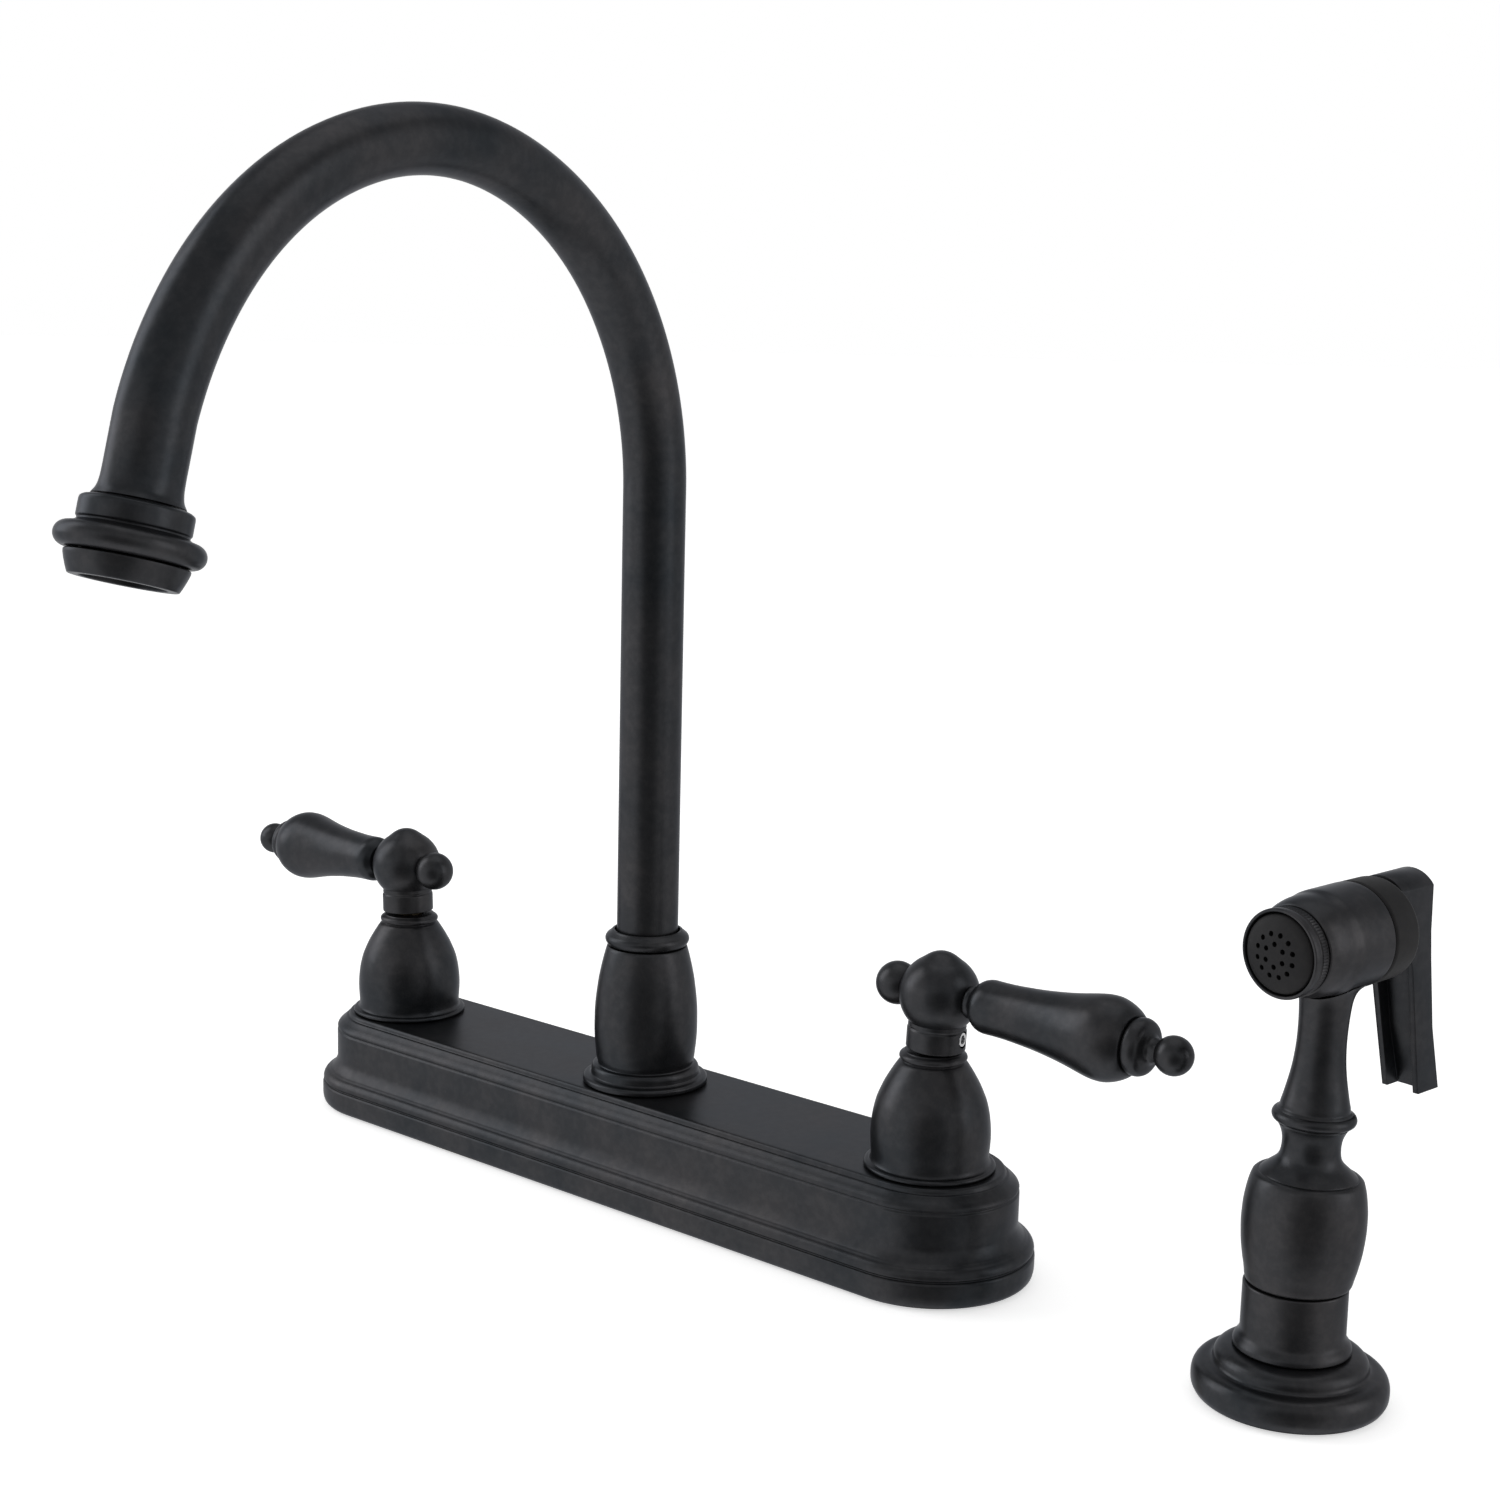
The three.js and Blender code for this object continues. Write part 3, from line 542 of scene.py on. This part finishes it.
SIDE = Vector((math.cos(SWIVEL), math.sin(SWIVEL), 0))
NECK_DIR = neck_dir(math.radians(164.9))
NECK_END = neck_point(ARC_END) + NECK_DIR * 0.3


def spout_tube():
    seg = 64
    stations = []  # centre, direction, radius outside
    for z in np.linspace(TUBE_START, ARC_Z, 9)[:-1]:
        stations.append((Vector((0, 0, float(z))), Vector((0, 0, 1)), TUBE_R))
    for a in np.linspace(0, ARC_END, 97):
        d = (neck_point(min(a + 0.01, ARC_END)) - neck_point(max(a - 0.01, 0.0))).normalized() if 0 < a < ARC_END else neck_dir(a if a < 1 else math.radians(164.9))
        stations.append((neck_point(a), d, along(NECK_R, a)))
    flare = smooth([(9.06, 1.0), (9.06, 5.0), (9.06, 9.0), (9.07, 13.0), (9.2, 15.4), (9.6, 17.2), (10.4, 18.6)], 0.6)
    for r, s in flare:
        stations.append((NECK_END + NECK_DIR * float(s), NECK_DIR, r))
    rings = []
    turns = [2 * math.pi * k / seg for k in range(seg)]
    for row, inside in ((stations, False), (stations[::-1], True)):
        for c, d, r in row:
            y, r = d.cross(SIDE), TUBE_IN if inside else float(r)
            rings.append([tuple(c + (SIDE * math.cos(t) + y * math.sin(t)) * r) for t in turns])
    return swept("spout_neck", rings, cyclic=True)


place(spout_tube(), "spout", "spout_tube", BRONZE)
NOZZLE = frame_at(NECK_END, NECK_DIR, SIDE)
COLLAR = (
    eased(
        [
            (6.0, 9.5), (7.1, 9.5, 0.2), (7.1, 19.0), (10.9, 19.0, 0.15), (11.8, 19.25, 0.3), (12.5, 19.75, 0.35), (12.62, 20.4, 0.3), (12.62, 24.0, 0.3), (12.3, 24.35, 0.12),
            (12.25, 24.75, 0.12), (12.75, 25.1, 0.2), (13.4, 25.4, 0.1),
        ],
        False,
    )
    + arc(28.3, 2.81, -98, 98, 22, 13.79)[1:]
    + [(13.0, 31.2), (10.5, 31.2), (10.5, 26.0), (6.0, 26.0)]
)
place(turned("nozzle_bead_collar", COLLAR, True, 112, NOZZLE), "spout", "nozzle_collar", BRONZE)
HOUSING = eased(
    [
        (8.0, 27.9), (10.1, 27.9), (10.1, 31.5), (13.5, 31.45, 0.1), (13.8, 31.65, 0.15), (13.75, 32.3, 0.4), (13.35, 33.6, 0.6), (12.75, 35.2, 0.6),
        (12.3, 36.2, 0.3), (12.1, 36.6, 0.15), (11.85, 36.7, 0.12), (9.75, 36.7, 0.15), (9.6, 36.5, 0.15), (9.6, 29.0), (8.0, 29.0),
    ],
    True,
)
place(turned("aerator_ring", HOUSING, True, 112, NOZZLE), "spout", "aerator_housing", BRONZE)

# ---------------------------------------------------------------- handles
HANDLE_DIRS = {}
for side, x, azimuth, tilt, lever_z in (("left", -CENTRES, 177.0, -2.3, 74.75), ("right", CENTRES, -0.8, -0.8, 75.16)):
    az, ti = math.radians(azimuth), math.radians(tilt)
    d = Vector((math.cos(ti) * math.cos(az), math.cos(ti) * math.sin(az), math.sin(ti)))
    lever = frame_at((x, 0, lever_z), d, Vector((-math.sin(az), math.cos(az), 0)))
    lean = Vector((math.sin(HUB_TILT) * math.cos(az), math.sin(HUB_TILT) * math.sin(az), math.cos(HUB_TILT)))
    hub_at = frame_at((x, 0, HUB_FOOT), lean) @ Matrix.Translation((0, 0, -HUB_FOOT))
    body = "handle_" + side
    hub = turned(
        "hub_ball_" + side,
        [(0, 60.8)]
        + eased([(0, 60.8), (7.5, 60.8, 0.1), (7.71, 61.0, 0.15), (7.71, 66.0, 0.3), (7.4, 66.5, 0.15), (7.55, 66.95, 0.15), (7.5, 67.4)], False)[1:]
        + arc(BALL_Z, BALL_R, -44, 57, 40)
        + smooth([(5.5, 83.99), (4.6, 84.66), (3.6, 85.37), (2.6, 85.92), (1.5, 86.29), (0.6, 86.43), (0, 86.45)], 0.4)[:-1]
        + [(0, 86.45)],
        False, 96, hub_at,
    )
    boolean(hub, rod("cut", 4.4, 55, 71, 48, Matrix.Translation((x, 0, 0))))
    screw_d = Vector((math.cos(az + math.radians(11)), math.sin(az + math.radians(11)), 0))
    screw = frame_at((x, 0, 64.0), screw_d, Vector((0, 0, 1)))
    boolean(hub, rod("cut", 2.25, 3, 13, 40, screw))
    boolean(hub, rod("cut", 2.7, 5, 16, 32, lever))
    resharpen(hub)
    place(hub, body, "handle_hub_" + side, BRONZE)
    ss = turned(
        "set_screw_cup_" + side,
        eased([(0, 4.7), (1.5, 4.7, 0.1), (1.9, 5.1, 0.1), (1.9, 8.0, 0.12), (1.75, 8.2, 0.1), (1.22, 8.2, 0.08), (1.1, 8.0, 0.05), (1.1, 6.6), (0, 6.2)], False),
        False, 6 * 8, screw,
    )
    place(ss, body, "set_screw_" + side, STEEL)
    # small ball opposite the lever, with a short foot that sinks into the hub
    fin = turned(
        "finial_ball_" + side,
        [(0, -5.4), (1.9, -5.4), (1.9, -9.33), (3.0, -9.07), (4.1, -8.68)]
        + arc(-12.43, 5.7, 41.0, -90, 36)[:-1] + [(0, -12.43 - 5.7)],
        False, 80, lever,
    )
    place(fin, body, "handle_finial_" + side, BRONZE)
    ring = turned(
        "neck_ring_turned_" + side,
        eased([(2.7, 11.7), (3.4, 11.45), (4.0, 11.25, 0.2), (4.35, 11.6, 0.25), (4.4, 12.3, 0.3), (4.2, 13.0, 0.3), (3.8, 13.2, 0.2), (2.7, 13.2)], True),
        True, 72, lever,
    )
    place(ring, body, "handle_neck_ring_" + side, BRONZE)
    grip = turned(
        "lever_grip_" + side,
        [(0, 5.6), (2.3, 5.6)]
        + eased([(2.3, 13.5), (4.9, 13.5, 0.2), (6.2, 14.9, 0.5), (6.6, 15.7)], False)
        + smooth(
            [
                (6.83, 16.4), (6.96, 17.4), (6.95, 18.6), (6.93, 20.0), (7.0, 24.0), (7.25, 28.0), (7.57, 32.0), (8.03, 36.0), (8.6, 40.0),
                (9.32, 44.0), (10.15, 48.0), (10.58, 50.6), (10.67, 52.2), (10.6, 53.7), (9.97, 56.0), (8.85, 58.3), (7.8, 59.65),
            ],
            0.8,
        )
        + eased([(7.8, 59.65), (7.45, 59.97, 0.2), (2.4, 60.0), (2.4, 54.0), (0, 54.0)], False)[1:],
        False, 96, lever,
    )
    place(grip, body, "handle_grip_" + side, BRONZE)
    tip = turned(
        "lever_tip_turned_" + side,
        [(0, 54.4), (2.1, 54.4), (2.1, 60.3)]
        + eased([(6.7, 60.3), (6.95, 60.4, 0.1), (7.2, 61.15, 0.4), (7.2, 62.4, 0.6), (6.6, 63.7, 0.5), (5.6, 64.3, 0.3), (3.9, 64.75, 0.4), (3.1, 65.4, 0.4), (3.0, 66.6)], False)
        + arc(71.1, 4.88, -51, 90, 30)[:-1] + [(0, 71.1 + 4.88)],
        False, 80, lever,
    )
    place(tip, body, "handle_tip_" + side, BRONZE)

# ---------------------------------------------------------------- sprayer holder
at_spray = Matrix.Translation((SPRAY[0], SPRAY[1], 0))
FLANGE = (
    eased([(11.9, 0.0), (21.3, 0.0, 0.3), (21.8, 0.45, 0.3)], False)
    + smooth([(22.1, 0.9), (22.58, 1.9), (22.73, 3.2), (22.66, 4.7), (22.25, 6.0), (21.5, 6.95), (20.5, 7.45), (19.5, 7.6)], 0.5)
    + [(19.1, 7.64), (18.7, 7.7), (18.35, 7.84), (18.1, 8.05), (17.92, 8.35)]
    + smooth([(17.84, 8.7), (17.78, 9.2), (17.5, 10.0), (16.9, 10.75), (16.0, 11.35), (15.0, 11.7), (14.3, 11.82)], 0.4)
    + eased([(13.9, 11.85), (13.6, 11.85), (11.9, 11.85)], False)
)
place(turned("sprayer_escutcheon", FLANGE, True, 128, at_spray), "base", "sprayer_flange", BRONZE)
HOLDER = eased(
    [
        (9.8, -46.0, 0.4), (11.5, -46.0, 0.6), (11.5, 12.2), (13.55, 12.2, 0.15), (13.7, 12.45, 0.2), (13.6, 13.3, 0.5), (13.15, 14.1, 0.5), (12.45, 15.0, 0.6),
        (12.15, 16.0, 0.6), (12.1, 27.3, 0.25), (11.85, 27.65, 0.2), (10.2, 27.7, 0.2), (9.8, 27.4, 0.2),
    ],
    True,
)
place(turned("sprayer_holder_tube", HOLDER, True, 112, at_spray), "base", "sprayer_holder", BRONZE)

# ---------------------------------------------------------------- sprayer
wand = frame_at((SPRAY[0] + 0.45 * 0.757, SPRAY[1] + 0.45 * 0.653, SEAM_Z), LEAN)
head = frame_at(HEAD, HEAD_U, Vector((0.987, -0.16, 0)))
Z0 = SEAM_Z


def w(points):
    return [(q[0], q[1] - Z0, *q[2:]) for q in points]


WAND = (
    [(3.0, 84.0), (3.0, -6.0), (6.6, -6.6), (6.6, -14.0)]
    + eased([(6.6, -14.0), (8.3, -14.0, 0.3), (8.6, -13.5, 0.3), (8.6, 0.75), (11.7, 0.75, 0.2), (12.15, 1.05, 0.3), (12.4, 1.7)], False)[1:]
    + smooth(
        w(
            [
                (12.5, 30.1), (12.7, 30.9), (13.1, 32.6), (13.46, 34.5), (13.77, 36.4), (13.98, 38.4), (14.13, 40.3), (14.2, 42.25), (14.17, 44.2),
                (14.08, 46.15), (13.85, 48.1), (13.54, 50.07), (13.1, 52.0), (12.65, 53.3),
            ]
        ),
        0.8,
    )
    + eased(w([(12.2, 53.75, 0.3), (11.6, 54.0, 0.15), (11.2, 53.98, 0.1), (11.05, 54.2, 0.15), (10.4, 54.8)]), False)
    + smooth(w([(9.8, 55.3), (8.9, 56.05), (7.9, 56.95), (7.2, 57.95), (6.85, 59.1), (6.7, 60.6), (6.75, 62.1), (7.0, 63.4), (7.45, 64.6), (7.8, 65.3)]), 0.5)
    + eased(w([(8.1, 65.75, 0.15), (7.95, 66.1, 0.12), (8.6, 66.35, 0.12)]), False)
    + arc(67.75 - Z0, 1.45, -75, 75, 12, 8.18)
    + eased(w([(8.45, 69.35, 0.15), (8.05, 69.75, 0.15), (7.95, 70.1, 0.1), (7.9, 70.6)]), False)
    + smooth(
        w([(7.75, 71.2), (7.45, 72.4), (7.1, 74.0), (6.7, 75.9), (6.35, 77.8), (6.05, 79.8), (5.85, 81.6), (5.65, 84.5), (5.6, 87.0), (5.65, 90.0), (5.8, 92.8), (6.1, 95.6), (6.6, 97.4), (7.4, 98.8), (8.4, 99.8)]),
        0.8,
    )
    + [(8.4, 84.0)]
)


def wand_grip():
    verts, faces = turned_data(WAND, True, 112)
    out = []
    for x, y, z in verts:
        if 0.5 < z < 3.0 and math.hypot(x, y) > 8.55:
            # the foot is cut level, so that it sits evenly over the holder's rim
            low = (wand @ Vector((x, y, 0.75))).z
            z += (28.0 - low) * min(1.0, max(0.0, (3.0 - z) / 2.0))
        out.append((x, y, z))
    o = mesh_object("wand_grip_body", out, faces, wand)
    boolean(o, rod("cut", 12.45, -9.5, 14.2, 160, head))
    return resharpen(o)


place(wand_grip(), "sprayer", "wand_body", BRONZE)
BARREL = (
    [(2.5, -3.0), (8.6, -3.0)]
    + eased([(8.6, -7.6), (11.7, -7.6, 0.2), (12.2, -7.15, 0.3), (12.22, -6.0)], False)
    + smooth([(12.22, -5.0), (12.22, 0.0), (12.22, 3.6), (12.18, 4.5), (12.02, 5.3), (11.85, 6.0), (11.75, 6.9), (11.68, 8.2), (11.55, 9.6), (11.3, 11.0), (10.95, 12.3), (10.6, 13.2)], 0.6)
    + eased([(10.45, 13.55, 0.1), (10.2, 13.7, 0.1), (8.6, 13.7), (8.6, 0.0), (2.5, 0.0)], False)
)
place(turned("head_barrel", BARREL, True, 112, head), "sprayer", "wand_head", BRONZE)


def face_ring():
    """The knurled band and thin rim round the spray face."""
    prof = eased(
        [
            (8.4, 14.0), (9.9, 14.0, 0.1), (10.15, 14.25, 0.1), (10.15, 15.95, 0.1), (9.85, 16.25, 0.15), (9.8, 16.6, 0.15), (10.25, 16.95, 0.2), (10.31, 17.6, 0.2),
            (10.31, 18.4, 0.2), (10.1, 18.8, 0.15), (9.65, 18.8, 0.12), (9.45, 18.55, 0.1), (9.4, 16.8), (8.4, 16.4),
        ],
        True, 2,
    )
    seg = 168
    verts, faces = turned_data(prof, True, seg)
    out = []
    for x, y, z in verts:
        r = math.hypot(x, y)
        if r > 9.95 and 14.2 < z < 16.0:
            k = round(math.atan2(y, x) / (2 * math.pi) * seg)
            f = (r - (0.22 if k % 2 else 0.0)) / r
            x, y = x * f, y * f
        out.append((x, y, z))
    return mesh_object("face_knurl", out, faces, head, 20.0)


place(face_ring(), "sprayer", "face_ring", BRONZE)


def spray_face():
    prof = eased(
        [(0, 14.0), (8.1, 14.0, 0.1), (8.1, 16.6, 0.1), (9.1, 17.0, 0.1), (9.1, 18.2, 0.2)],
        False, 3,
    ) + smooth([(8.9, 18.62), (8.4, 19.02), (7.6, 19.42), (6.6, 19.75), (5.4, 20.05), (4.0, 20.3), (2.4, 20.47), (0.9, 20.54)], 0.5) + [(0, 20.55)]
    o = turned("spray_disc", prof, False, 96, head)
    cutter = None
    verts, faces = [], []
    for n, r, ph in ((12, 4.9, 0.5), (6, 2.6, 0.5)):
        for i in range(n):
            a = 2 * math.pi * (i + ph) / n
            v, f = turned_data([(0, 16.0), (0.62, 16.0), (0.62, 22.0), (0, 22.0)], False, 20)
            off = len(verts)
            verts += [(x + r * math.cos(a), y + r * math.sin(a), z) for x, y, z in v]
            faces += [[q + off for q in g] for g in f]
    boolean(o, mesh_object("cut", verts, faces, head))
    return resharpen(o)


place(spray_face(), "sprayer", "spray_face", MATT)


def rear_cap():
    prof = eased(
        [(2.5, -17.2), (11.0, -17.2, 0.5), (12.05, -16.2, 0.8), (12.14, -8.5, 0.4), (11.6, -7.9, 0.2), (8.2, -7.9), (8.2, -4.0), (2.5, -4.0)], True
    )
    o = turned("rear_cap_body", prof, True, 112, head)
    pin = frame_at((0, PIVOT_H, PIVOT_T), (1, 0, 0))
    ear = prism(
        "ear",
        [(-17.0, 3.0), (-17.0, 9.4), (PIVOT_T, 9.4)]
        + [(PIVOT_T + 2.9 * math.cos(a), PIVOT_H + 2.9 * math.sin(a)) for a in np.linspace(math.radians(100), math.radians(260), 15)]
        + [(PIVOT_T, 3.5), (-20.0, 3.0)],
        4.1, head,
    )
    crown = rod("crown", 5.4, -60, 20, 64, head @ Matrix.Translation((0, CROWN_H, 0)))
    boolean(ear, crown, "INTERSECT")
    boolean(o, ear, "UNION")
    boolean(o, rod("cut", 1.5, -9, 9, 32, head @ pin))
    return resharpen(o)


place(rear_cap(), "sprayer", "head_rear_cap", MATT)


def trigger():
    taper = lambda k: (lambda y: 1 - k * (-11 - y) / 30 if y < -11 else 1.0)
    out = [
        (-17.6, 12.3), (-29.6, 12.3), (-29.6, -2), (-30.2, -9), (-32.8, -26), (-37.0, -41.8), (-29.1, -41.8), (-23.4, -11), (-23.0, -9.5), (-20.1, -2), (-18.4, 3.5),
        (-17.6, 7.5),
    ]
    inn = [(-10, 12.3), (-26.4, 12.3), (-26.4, -2), (-27.0, -9), (-29.4, -26), (-34.2, -46), (-10, -46)]
    o = prism("trigger_lever", out, 6.0, head, taper(0.15))
    crown_at = head @ Matrix.Translation((0, CROWN_H, 0))

    def crown(r):
        a = [(r * math.sin(t), r * math.cos(t)) for t in np.linspace(-math.pi / 2, math.pi / 2, 49)]
        pts = [(x, y) for x, y in a] + [(20, 0), (20, -70), (-20, -70), (-20, 0)]
        n = len(pts)
        v = [(x, y, -60) for x, y in pts] + [(x, y, 20) for x, y in pts]
        f = [list(range(n)), list(range(n, 2 * n))[::-1]] + [[k, (k + 1) % n, n + (k + 1) % n, n + k] for k in range(n)]
        return mesh_object("crown", v, f, crown_at)

    boolean(o, crown(7.5), "INTERSECT")
    cavity = prism("cavity", inn, 4.5, head, taper(0.2))
    boolean(cavity, crown(6.0), "INTERSECT")
    boolean(o, cavity)
    boolean(o, rod("cut", 1.5, -5.5, 5.5, 32, head @ frame_at((0, PIVOT_H, PIVOT_T), (1, 0, 0))))
    resharpen(o)
    return bevelled(o, 0.35, 3)


place(trigger(), "trigger", "trigger", BRONZE)

# ---------------------------------------------------------------- CAD nodes that stay, with their materials
def dress(node, material):
    o = NODES[node]
    if o.data.materials:
        for i in range(len(o.data.materials)):
            o.data.materials[i] = material
    else:
        o.data.materials.append(material)


for name in ("swivel_adapter", "sprayer_outlet_nipple", "wand_hose_connector", "spray_plunger"):
    dress(name, BRASS)
dress("waterway_body", BRASS_CAST)
for side in ("left", "right"):
    dress("supply_shank_" + side, BRASS)
    dress("cartridge_nut_" + side, BRASS)
    # the stems get near-black brass, painted shade for the gap at the hub foot
    dress("valve_stem_" + side, BRASS_PAINTED_SHADE)
    dress("cartridge_" + side, POLYMER)
    dress("shank_nut_" + side, POLYMER)
    dress("shank_washer_" + side, STEEL)
dress("sprayer_nut", POLYMER)
dress("sprayer_washer", STEEL)
dress("diverter_poppet", POLYMER)
dress("swivel_washer", POLYMER)
dress("swivel_seal_lower", RUBBER)
dress("swivel_seal_upper", RUBBER)
dress("aerator_gasket", RUBBER)
# the insert's near-black colour is partly its dark plastic and partly painted shade in the mouth
dress("aerator_insert", GREY)
dress("base_gasket", FOAM)
dress("trigger_pin", STEEL)


def valve_coil():
    """The coil between the plunger's disc and the spray face."""
    rings, turns, steps = [], 4, 40
    for i in range(turns * steps + 1):
        a = 2 * math.pi * i / steps
        along_wire = Vector((-3.2 * math.sin(a), 3.2 * math.cos(a), 10.4 / (2 * math.pi * turns))).normalized()
        out = Vector((math.cos(a), math.sin(a), 0))
        up = along_wire.cross(out)
        c = Vector((3.2 * math.cos(a), 3.2 * math.sin(a), 2.9 + 10.4 * i / (turns * steps)))
        ring = [c + 0.38 * (out * math.cos(b) + up * math.sin(b)) for b in (2 * math.pi * k / 12 for k in range(12))]
        rings.append([tuple(head @ q) for q in ring])
    return swept("valve_coil", rings, True, True)


coil = place(valve_coil(), "sprayer", "plunger_spring", STEEL)
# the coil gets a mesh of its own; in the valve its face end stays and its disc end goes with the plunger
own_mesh(coil)

# ---------------------------------------------------------------- floor, light
floor = bpy.data.meshes.new("floor")
floor.from_pydata([(-45, -45, -0.0004), (45, -45, -0.0004), (45, 45, -0.0004), (-45, 45, -0.0004)], [], [(0, 1, 2, 3)])
floor_o = bpy.data.objects.new("floor", floor)
bpy.context.scene.collection.objects.link(floor_o)
fmat, fnt, fb = new_material("floor_white")
fb.inputs["Base Color"].default_value = (0.93, 0.93, 0.93, 1)
fb.inputs["Emission Color"].default_value = (1, 1, 1, 1)
fb.inputs["Emission Strength"].default_value = 0.55
fb.inputs["Roughness"].default_value = 0.9
fb.inputs["Specular IOR Level"].default_value = 0.1
floor.materials.append(fmat)
floor_o.visible_glossy = False

bpy.context.scene.view_settings.view_transform = "Standard"
world = bpy.data.worlds.new("world")
bpy.context.scene.world = world
world.use_nodes = True
wt = world.node_tree
bg = wt.nodes["Background"]
# a white studio, with a dark zone on the camera's side so that round pieces get a dark middle
way = wt.nodes.new("ShaderNodeTexCoord")
dot = wt.nodes.new("ShaderNodeVectorMath")
dot.operation = "DOT_PRODUCT"
DARK_AZ, DARK_EL = AZ - math.radians(5), math.radians(-10)
dot.inputs[1].default_value = (math.sin(DARK_AZ) * math.cos(DARK_EL), -math.cos(DARK_AZ) * math.cos(DARK_EL), math.sin(DARK_EL))
wt.links.new(way.outputs["Generated"], dot.inputs[0])
fade = wt.nodes.new("ShaderNodeMapRange")
fade.interpolation_type = "SMOOTHSTEP"
for key, val in (("From Min", math.cos(math.radians(50))), ("From Max", math.cos(math.radians(14))), ("To Min", 1.0), ("To Max", 0.09)):
    fade.inputs[key].default_value = val
wt.links.new(dot.outputs["Value"], fade.inputs["Value"])
# the right side is a little dimmer than the left
side = wt.nodes.new("ShaderNodeVectorMath")
side.operation = "DOT_PRODUCT"
side.inputs[1].default_value = (math.sin(AZ + math.radians(75)), -math.cos(AZ + math.radians(75)), 0.0)
wt.links.new(way.outputs["Generated"], side.inputs[0])
dim = wt.nodes.new("ShaderNodeMapRange")
dim.interpolation_type = "SMOOTHSTEP"
for key, val in (("From Min", 0.25), ("From Max", 0.85), ("To Min", 1.0), ("To Max", 0.68)):
    dim.inputs[key].default_value = val
wt.links.new(side.outputs["Value"], dim.inputs["Value"])
both = wt.nodes.new("ShaderNodeMath")
both.operation = "MULTIPLY"
wt.links.new(fade.outputs["Result"], both.inputs[0])
wt.links.new(dim.outputs["Result"], both.inputs[1])
# and the ceiling is dimmer than the walls
height = wt.nodes.new("ShaderNodeSeparateXYZ")
wt.links.new(way.outputs["Generated"], height.inputs[0])
ceiling = wt.nodes.new("ShaderNodeMapRange")
ceiling.interpolation_type = "SMOOTHSTEP"
for key, val in (("From Min", 0.22), ("From Max", 0.72), ("To Min", 1.0), ("To Max", 0.42)):
    ceiling.inputs[key].default_value = val
wt.links.new(height.outputs["Z"], ceiling.inputs["Value"])
whole = wt.nodes.new("ShaderNodeMath")
whole.operation = "MULTIPLY"
wt.links.new(both.outputs[0], whole.inputs[0])
wt.links.new(ceiling.outputs["Result"], whole.inputs[1])
# seen directly the backdrop is plain and even all round; the differences only light the object
sight = wt.nodes.new("ShaderNodeLightPath")
even = wt.nodes.new("ShaderNodeMath")
even.operation = "MAXIMUM"
wt.links.new(whole.outputs[0], even.inputs[0])
wt.links.new(sight.outputs["Is Camera Ray"], even.inputs[1])
wt.links.new(even.outputs[0], bg.inputs["Strength"])
bg.inputs["Color"].default_value = (1, 1, 1, 1)


def area(name, location, target, size, energy, size_y=None):
    light = bpy.data.lights.new(name, "AREA")
    light.energy = energy
    light.shape = "RECTANGLE"
    light.size = size
    light.size_y = size_y or size
    o = bpy.data.objects.new(name, light)
    o.location = location
    d = Vector(target) - Vector(location)
    o.rotation_euler = d.to_track_quat("-Z", "Y").to_euler()
    bpy.context.scene.collection.objects.link(o)
    return o


target = (0.05, -0.03, 0.12)
area("key_left", (-1.15, -0.55, 0.75), target, 0.7, 6.0, 1.3)
area("key_right", (1.45, 0.45, 0.65), target, 0.7, 3.0, 1.3)
area("top", (-0.05, 0.35, 1.75), target, 1.5, 3.5)
